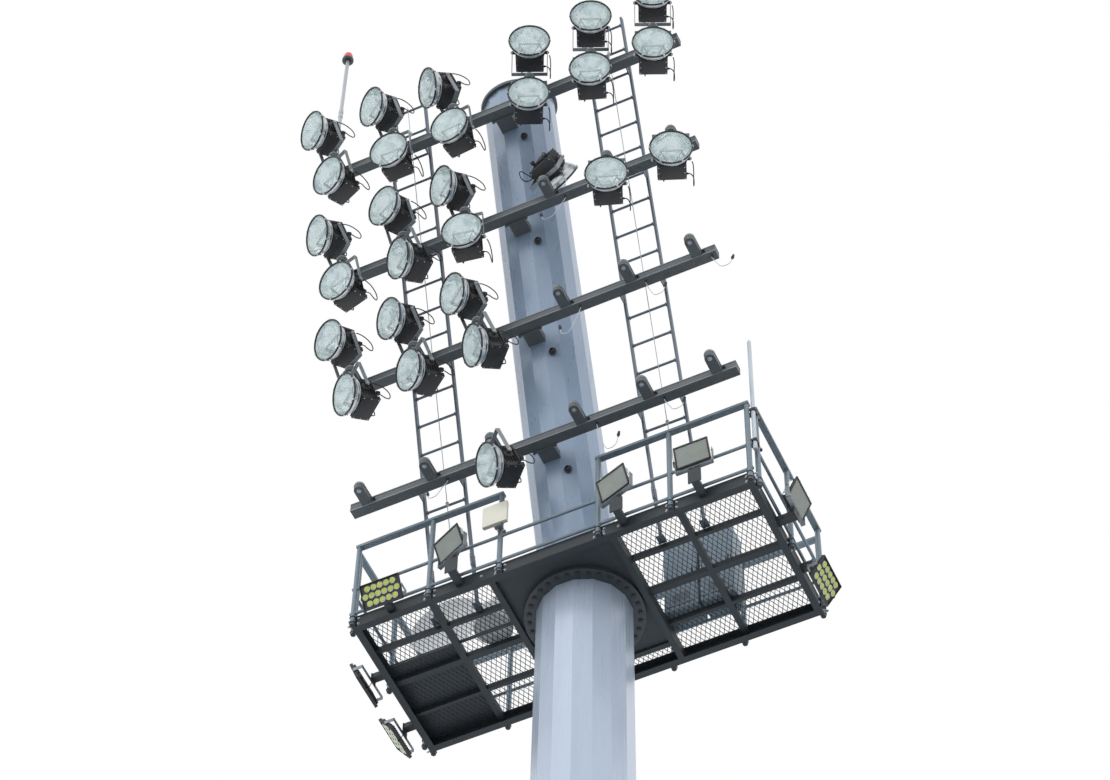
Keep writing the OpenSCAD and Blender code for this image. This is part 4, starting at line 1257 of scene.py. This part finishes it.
def make_cabinets():
    low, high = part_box("cabinets")
    s = Shape("cabinet", "black", "bolt", "rubber")
    width = 0.40
    for x0 in (low.x, high.x - width):
        x1 = x0 + width
        s.box((x0, low.y + 0.012, low.z), (x1, high.y, high.z - 0.012), "cabinet", None, 0.006)
        s.box((x0, low.y, high.z - 0.014), (x1, high.y, high.z), "cabinet", None, 0.004)
        s.box((x0 + 0.018, low.y + 0.001, low.z + 0.060),
              (x1 - 0.018, low.y + 0.014, high.z - 0.040), "cabinet", None, 0.004)
        middle = (low.z + high.z) / 2
        for z in (low.z + 0.18, middle, high.z - 0.16):
            x, y = x0 + 0.016, low.y + 0.004
            s.rod((x, y, z - 0.03), (x, y, z + 0.03), 0.006, "bolt", 10)
        s.box((x1 - 0.070, low.y, middle - 0.06), (x1 - 0.045, low.y + 0.010, middle + 0.06),
              "black", None, 0.003)
        for k in range(9):
            z = low.z + 0.10 + 0.018 * k
            s.box((x0 + 0.10, low.y, z), (x1 - 0.10, low.y + 0.006, z + 0.007), "black", None,
                  0.001)
        for k in range(3):
            entry = Matrix.Translation((x0 + 0.10 + 0.10 * k, high.y - 0.10, low.z - 0.001))
            s.disc(0.016, 0, 0.02, "rubber", entry, 12)
    s.finish("cabinets_dressed", "cabinet_paint", MAST, ("cabinets",))


def make_obstruction_light():
    low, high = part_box("obstruction_light")
    x, y = (low.x + high.x) / 2, (low.y + high.y) / 2
    s = Shape("ladder", "red", "black", "bolt", "crossarm")
    at = Matrix.Translation((x, y, low.z))
    top = high.z - low.z
    s.slab(x, 0.060, (y - 0.060, low.z), (y + 0.060, low.z + 0.012), "ladder", None, 0.002)
    for dx in (-0.045, 0.045):
        for dy in (-0.045, 0.045):
            s.rod((x + dx, y + dy, low.z + 0.010), (x + dx, y + dy, low.z + 0.024), 0.009, "bolt", 6)
    s.lathe([(0.024, 0.010), (0.024, 2.951)], "bolt", at, 20)
    for h in (0.020, 1.45, 1.56):
        s.lathe([(0.024, h), (0.031, h + 0.006), (0.031, h + 0.070), (0.024, h + 0.076)], "bolt", at, 20)
    s.lathe([(0, 2.949), (0.070, 2.949), (0.075, 2.955), (0.075, 2.980), (0.068, 2.986), (0, 2.986)],
            "crossarm", at, 28)
    s.disc(0.042, 2.942, 2.950, "black", at, 20)
    s.lathe([(0.062, 2.985), (0.062, 3.030), (0.058, 3.036), (0.060, 3.060), (0.054, 3.095),
             (0.036, 3.114), (0.018, top - 0.001), (0, top)], "red", at, 32)
    for k in range(3):
        turn = at @ spin(120 * k, "Z")
        s.box((0.063, -0.004, 2.984), (0.069, 0.004, 3.034), "bolt", turn, 0.001)
    s.finish("obstruction_light_dressed", "galvanised", MAST, ("obstruction_light",))


# Hanging leads

# Crossarm, column and how the spare lead of that empty place lies: sideways
# sweep and drop, in metres
LEADS = [(4, 4, 0.16, 0.62), (3, 4, -0.15, 0.50), (2, 4, -0.18, 0.40), (4, 5, 0.14, 0.34),
         (3, 6, 0.15, 0.36), (4, 2, -0.14, 0.30), (3, 5, 0.145, 0.42)]

# The loop's points: share of the sweep, metres towards the field, share of the drop
LOOP = [(0.35, 0.02, 0.55), (0.75, 0.03, 0.94), (1.15, 0.03, 1.0), (1.5, 0.02, 0.90),
        (1.62, 0.01, 0.68)]
LEAD_DIAMETER = 0.009


def make_leads():
    """Spare leads of empty lamp places: each leaves a gland on the crossarm's
    underside, hangs in a loop and ends in its connector."""
    for n, column, sweep, drop in LEADS:
        x = COLUMNS[column - 1] + 0.16
        y, z = beam_y(n) + 0.05, beam_z(n)
        start = Vector((x, y, z))
        rough = [start, start + Vector((0, 0, -0.05))]
        rough += [start + Vector((sweep * a, -out, -drop * b)) for a, out, b in LOOP]
        path = smooth_path(rough, 6)
        length = sum((b - a).length for a, b in zip(path, path[1:]))
        s = Shape("white_lead")
        s.tube(path, LEAD_DIAMETER / 2, "white_lead", 8)
        code = "%d%d" % (n, column)
        lead = s.finish("lead_" + code, "antenna_grey")
        along = (path[-1] - path[-2]).normalized()
        turn = along.to_track_quat("Z", "Y").to_matrix().to_4x4()
        end = Matrix.Translation(path[-1] - along * 0.012) @ turn
        c = Shape("black", "rubber")
        c.lathe([(0, 0), (0.008, 0), (0.013, 0.020), (0.016, 0.026), (0.016, 0.070), (0.013, 0.078),
                 (0.013, 0.098), (0, 0.098)], "black", end, 14)
        c.lathe([(0.0162, 0.036), (0.0185, 0.040), (0.0185, 0.052), (0.0162, 0.056)], "rubber", end, 14)
        plug = c.finish("connector_" + code, "lamp_black")
        g = Shape("rubber")
        g.lathe([(0, 0.001), (0.014, 0.001), (0.014, 0.012), (0.009, 0.026), (0, 0.026)], "rubber",
                Matrix.Translation(start) @ Matrix.Rotation(math.pi, 4, "X"), 12)
        g.finish("gland_" + code, "lamp_black")


# Stage


def seen_directly(tree):
    """A value that is 1 for camera, mirror and glass rays, and 0 for light."""
    path = tree.nodes.new("ShaderNodeLightPath")
    value = path.outputs["Is Camera Ray"]
    for name in ("Is Glossy Ray", "Is Transmission Ray"):
        either = tree.nodes.new("ShaderNodeMath")
        either.operation = "MAXIMUM"
        tree.links.new(value, either.inputs[0])
        tree.links.new(path.outputs[name], either.inputs[1])
        value = either.outputs[0]
    return value


def shown_to_sight(tree, lighting, seen):
    """A matt floor that looks pale but throws back little light."""
    mix = tree.nodes.new("ShaderNodeMix")
    mix.data_type = "RGBA"
    mix.inputs[6].default_value, mix.inputs[7].default_value = lighting, seen
    tree.links.new(seen_directly(tree), mix.inputs["Factor"])
    floor = tree.nodes["Principled BSDF"]
    tree.links.new(mix.outputs[2], floor.inputs["Base Color"])
    floor.inputs["Roughness"].default_value = 0.9


def make_sky(scene):
    """White where it is seen; as light, an overcast sky that is brightest
    over the horizon and dim below it."""
    scene.world = bpy.data.worlds.new("overcast sky")
    scene.world.use_nodes = True
    tree = scene.world.node_tree
    tree.nodes.clear()
    new = tree.nodes.new
    where, split = new("ShaderNodeTexCoord"), new("ShaderNodeSeparateXYZ")
    height, ramp = new("ShaderNodeMapRange"), new("ShaderNodeValToRGB")
    seen, lit = new("ShaderNodeBackground"), new("ShaderNodeBackground")
    choose, out = new("ShaderNodeMixShader"), new("ShaderNodeOutputWorld")
    height.inputs["From Min"].default_value = -1.0
    set_stops(ramp.color_ramp, [(0.30, (0.16, 0.17, 0.18)), (0.48, (0.55, 0.57, 0.60)),
                                (0.56, (1.0, 1.0, 1.0)), (1.0, (0.60, 0.63, 0.68))])
    seen.inputs["Color"].default_value = (1, 1, 1, 1)
    lit.inputs["Strength"].default_value = scene.pylon_sizes.sky_light
    tree.links.new(seen_directly(tree), choose.inputs["Fac"])
    wire(tree, (where, "Generated", split, 0), (split, "Z", height, "Value"),
         (height, "Result", ramp, "Fac"), (ramp, "Color", lit, "Color"),
         (lit, 0, choose, 1), (seen, 0, choose, 2), (choose, 0, out, "Surface"))


def make_stage():
    scene = bpy.context.scene
    data = bpy.data.cameras.new("camera")
    scene.camera = bpy.data.objects.new("camera", data)
    scene.collection.objects.link(scene.camera)
    turn = Matrix(CAMERA_AXES).transposed().to_4x4()
    scene.camera.matrix_world = Matrix.Translation(CAMERA_AT) @ turn
    data.sensor_width = SENSOR
    data.lens = SENSOR * FOCAL_PIXELS / PHOTO_WIDTH
    data.clip_start, data.clip_end = 0.5, 500
    # floor, white to the camera
    mesh = bpy.data.meshes.new("floor")
    mesh.from_pydata([(-70, -70, 0), (70, -70, 0), (70, 70, 0), (-70, 70, 0)], [], [(0, 1, 2, 3)])
    floor = bpy.data.objects.new("floor", mesh)
    scene.collection.objects.link(floor)
    material = bpy.data.materials.new("pale floor")
    material.use_nodes = True
    shown_to_sight(material.node_tree, (0.20, 0.21, 0.20, 1), (0.80, 0.81, 0.82, 1))
    mesh.materials.append(material)
    make_sky(scene)
    # soft key from the front left, above
    sun = bpy.data.lights.new("soft_key", "SUN")
    sun.energy, sun.angle = scene.pylon_sizes.key_light, math.radians(45)
    key = bpy.data.objects.new("soft_key", sun)
    key.rotation_euler = (math.radians(52), 0, math.radians(-28))
    scene.collection.objects.link(key)
    scene.view_settings.view_transform = "Standard"


# Add-on


def colour_property(label, default):
    return FloatVectorProperty(name=label, description=label + ", as a linear colour", subtype="COLOR",
                               size=3, min=0, max=1, default=default)


class PylonColours(bpy.types.PropertyGroup):
    """Colours of the finishes"""

    shaft: colour_property("Shaft paint", (0.47, 0.55, 0.67))
    # painted shade: darker than the shaft paint, for the shade on the leaning head
    head: colour_property("Head paint", (0.29, 0.38, 0.51))
    zinc: colour_property("Handrail zinc", (0.20, 0.25, 0.29))
    ladder: colour_property("Ladder zinc", (0.13, 0.16, 0.20))
    crossarm: colour_property("Crossarm steel", (0.125, 0.142, 0.150))
    deck: colour_property("Deck steel", (0.040, 0.049, 0.056))
    lattice: colour_property("Expanded metal", (0.060, 0.070, 0.078))
    yoke: colour_property("Yoke zinc", (0.27, 0.30, 0.32))
    spun: colour_property("Spun aluminium", (0.62, 0.66, 0.68))
    glass: colour_property("Floodlight glass", (0.72, 0.90, 0.91))
    optics: colour_property("Small optics", (0.66, 0.74, 0.13))
    cabinet: colour_property("Cabinet paint", (0.20, 0.26, 0.31))


class PylonSizes(bpy.types.PropertyGroup):
    """Mesh of the floors and strength of the lights"""

    diamond_x: FloatProperty(
        name="Diamond width", description="Width of a diamond of the floor's mesh",
        default=0.058, min=0.02, max=0.2, unit="LENGTH")
    diamond_y: FloatProperty(
        name="Diamond length", description="Length of a diamond of the floor's mesh",
        default=0.110, min=0.02, max=0.3, unit="LENGTH")
    strand: FloatProperty(
        name="Strand width", description="Width of a strand of the floor's mesh",
        default=0.007, min=0.002, max=0.02, unit="LENGTH")
    key_light: FloatProperty(
        name="Key light", description="Strength of the soft key light",
        default=0.25, min=0, max=10)
    sky_light: FloatProperty(
        name="Sky light", description="Strength of the sky as a light",
        default=1.62, min=0, max=10)


class PYLON_OT_materials(bpy.types.Operator):
    """Make the materials of all pieces"""

    bl_idname = "pylon.materials"
    bl_label = "Finishes"

    def execute(self, context):
        make_materials()
        return {"FINISHED"}


class PYLON_OT_stage(bpy.types.Operator):
    """Make the camera, the floor and the light"""

    bl_idname = "pylon.stage"
    bl_label = "Stage"

    def execute(self, context):
        make_stage()
        return {"FINISHED"}


class PYLON_OT_leads(bpy.types.Operator):
    """Make the hanging leads of the empty lamp places"""

    bl_idname = "pylon.leads"
    bl_label = "Spare leads"

    def execute(self, context):
        make_leads()
        return {"FINISHED"}


class PYLON_OT_mast_finish(bpy.types.Operator):
    """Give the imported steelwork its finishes"""

    bl_idname = "pylon.mast_finish"
    bl_label = "Mast finishes"

    def execute(self, context):
        make_mast_finish()
        return {"FINISHED"}


class PYLON_OT_mast_fixings(bpy.types.Operator):
    """Make the bolts, nuts and door fittings of the mast"""

    bl_idname = "pylon.mast_fixings"
    bl_label = "Mast fixings"

    def execute(self, context):
        make_mast_fixings()
        return {"FINISHED"}


class PYLON_OT_head_details(bpy.types.Operator):
    """Make the cap's eye and the glands of the head"""

    bl_idname = "pylon.head_details"
    bl_label = "Head details"

    def execute(self, context):
        make_head_details()
        return {"FINISHED"}


class PYLON_OT_crossarm_details(bpy.types.Operator):
    """Make the straps, caps and bolts of the crossarms"""

    bl_idname = "pylon.crossarm_details"
    bl_label = "Crossarm details"

    def execute(self, context):
        make_crossarm_details()
        return {"FINISHED"}


class PYLON_OT_floodlights(bpy.types.Operator):
    """Make the tilting round floodlights"""

    bl_idname = "pylon.floodlights"
    bl_label = "Floodlights"

    def execute(self, context):
        make_floodlights()
        return {"FINISHED"}


class PYLON_OT_floors(bpy.types.Operator):
    """Make the floors of expanded metal"""

    bl_idname = "pylon.floors"
    bl_label = "Mesh floors"

    def execute(self, context):
        make_floors()
        return {"FINISHED"}


class PYLON_OT_deck_details(bpy.types.Operator):
    """Make the kerbs, the cover's fittings and the deck's bolts"""

    bl_idname = "pylon.deck_details"
    bl_label = "Deck details"

    def execute(self, context):
        make_deck_details()
        return {"FINISHED"}


class PYLON_OT_handrail_details(bpy.types.Operator):
    """Make the straps, sleeves and plugs of the handrail"""

    bl_idname = "pylon.handrail_details"
    bl_label = "Handrail details"

    def execute(self, context):
        make_handrail_details()
        return {"FINISHED"}


class PYLON_OT_ladder_details(bpy.types.Operator):
    """Make the sleeves, collars and wires of the ladders"""

    bl_idname = "pylon.ladder_details"
    bl_label = "Ladder details"

    def execute(self, context):
        make_ladder_details()
        return {"FINISHED"}


class PYLON_OT_work_lamps(bpy.types.Operator):
    """Make the work lamps on the deck's edge"""

    bl_idname = "pylon.work_lamps"
    bl_label = "Work lamps"

    def execute(self, context):
        make_work_lamps()
        return {"FINISHED"}


class PYLON_OT_lens_panels(bpy.types.Operator):
    """Make the panels of sixteen small lenses"""

    bl_idname = "pylon.lens_panels"
    bl_label = "Lens panels"

    def execute(self, context):
        make_lens_panels()
        return {"FINISHED"}


class PYLON_OT_panel_antenna(bpy.types.Operator):
    """Make the flat antenna on its post"""

    bl_idname = "pylon.panel_antenna"
    bl_label = "Panel antenna"

    def execute(self, context):
        make_panel_antenna()
        return {"FINISHED"}


class PYLON_OT_tube_antenna(bpy.types.Operator):
    """Make the tube antenna beside its post"""

    bl_idname = "pylon.tube_antenna"
    bl_label = "Tube antenna"

    def execute(self, context):
        make_tube_antenna()
        return {"FINISHED"}


class PYLON_OT_dish_antenna(bpy.types.Operator):
    """Make the dish and the low drum"""

    bl_idname = "pylon.dish_antenna"
    bl_label = "Dish antenna"

    def execute(self, context):
        make_dish_antenna()
        return {"FINISHED"}


class PYLON_OT_cabinets(bpy.types.Operator):
    """Make the gear cabinets"""

    bl_idname = "pylon.cabinets"
    bl_label = "Cabinets"

    def execute(self, context):
        make_cabinets()
        return {"FINISHED"}


class PYLON_OT_obstruction_light(bpy.types.Operator):
    """Make the red light on its pole"""

    bl_idname = "pylon.obstruction_light"
    bl_label = "Obstruction light"

    def execute(self, context):
        make_obstruction_light()
        return {"FINISHED"}


STEPS = [
    PYLON_OT_materials, PYLON_OT_stage, PYLON_OT_leads, PYLON_OT_mast_finish, PYLON_OT_mast_fixings,
    PYLON_OT_head_details, PYLON_OT_crossarm_details, PYLON_OT_floodlights, PYLON_OT_floors,
    PYLON_OT_deck_details, PYLON_OT_handrail_details, PYLON_OT_ladder_details, PYLON_OT_work_lamps,
    PYLON_OT_lens_panels, PYLON_OT_panel_antenna, PYLON_OT_tube_antenna, PYLON_OT_dish_antenna,
    PYLON_OT_cabinets, PYLON_OT_obstruction_light,
]


class PYLON_PT_main(bpy.types.Panel):
    """Lists the steps that dress the pylon."""

    bl_label = "Floodlight pylon"
    bl_idname = "PYLON_PT_main"
    bl_space_type = "VIEW_3D"
    bl_region_type = "UI"
    bl_category = "Pylon"

    def draw(self, context):
        for group in (context.scene.pylon_sizes, context.scene.pylon_colours):
            for name in group.__annotations__:
                self.layout.prop(group, name)
        for step in STEPS:
            self.layout.operator(step.bl_idname)


CLASSES = [PylonColours, PylonSizes, *STEPS, PYLON_PT_main]


def register():
    for cls in CLASSES:
        bpy.utils.register_class(cls)
    bpy.types.Scene.pylon_colours = PointerProperty(type=PylonColours)
    bpy.types.Scene.pylon_sizes = PointerProperty(type=PylonSizes)


def unregister():
    del bpy.types.Scene.pylon_sizes
    del bpy.types.Scene.pylon_colours
    for cls in reversed(CLASSES):
        bpy.utils.unregister_class(cls)


def main():
    register()
    for step in STEPS:
        getattr(bpy.ops.pylon, step.bl_idname.removeprefix("pylon."))()
    bpy.context.view_layer.update()


if __name__ == "__main__":
    main()
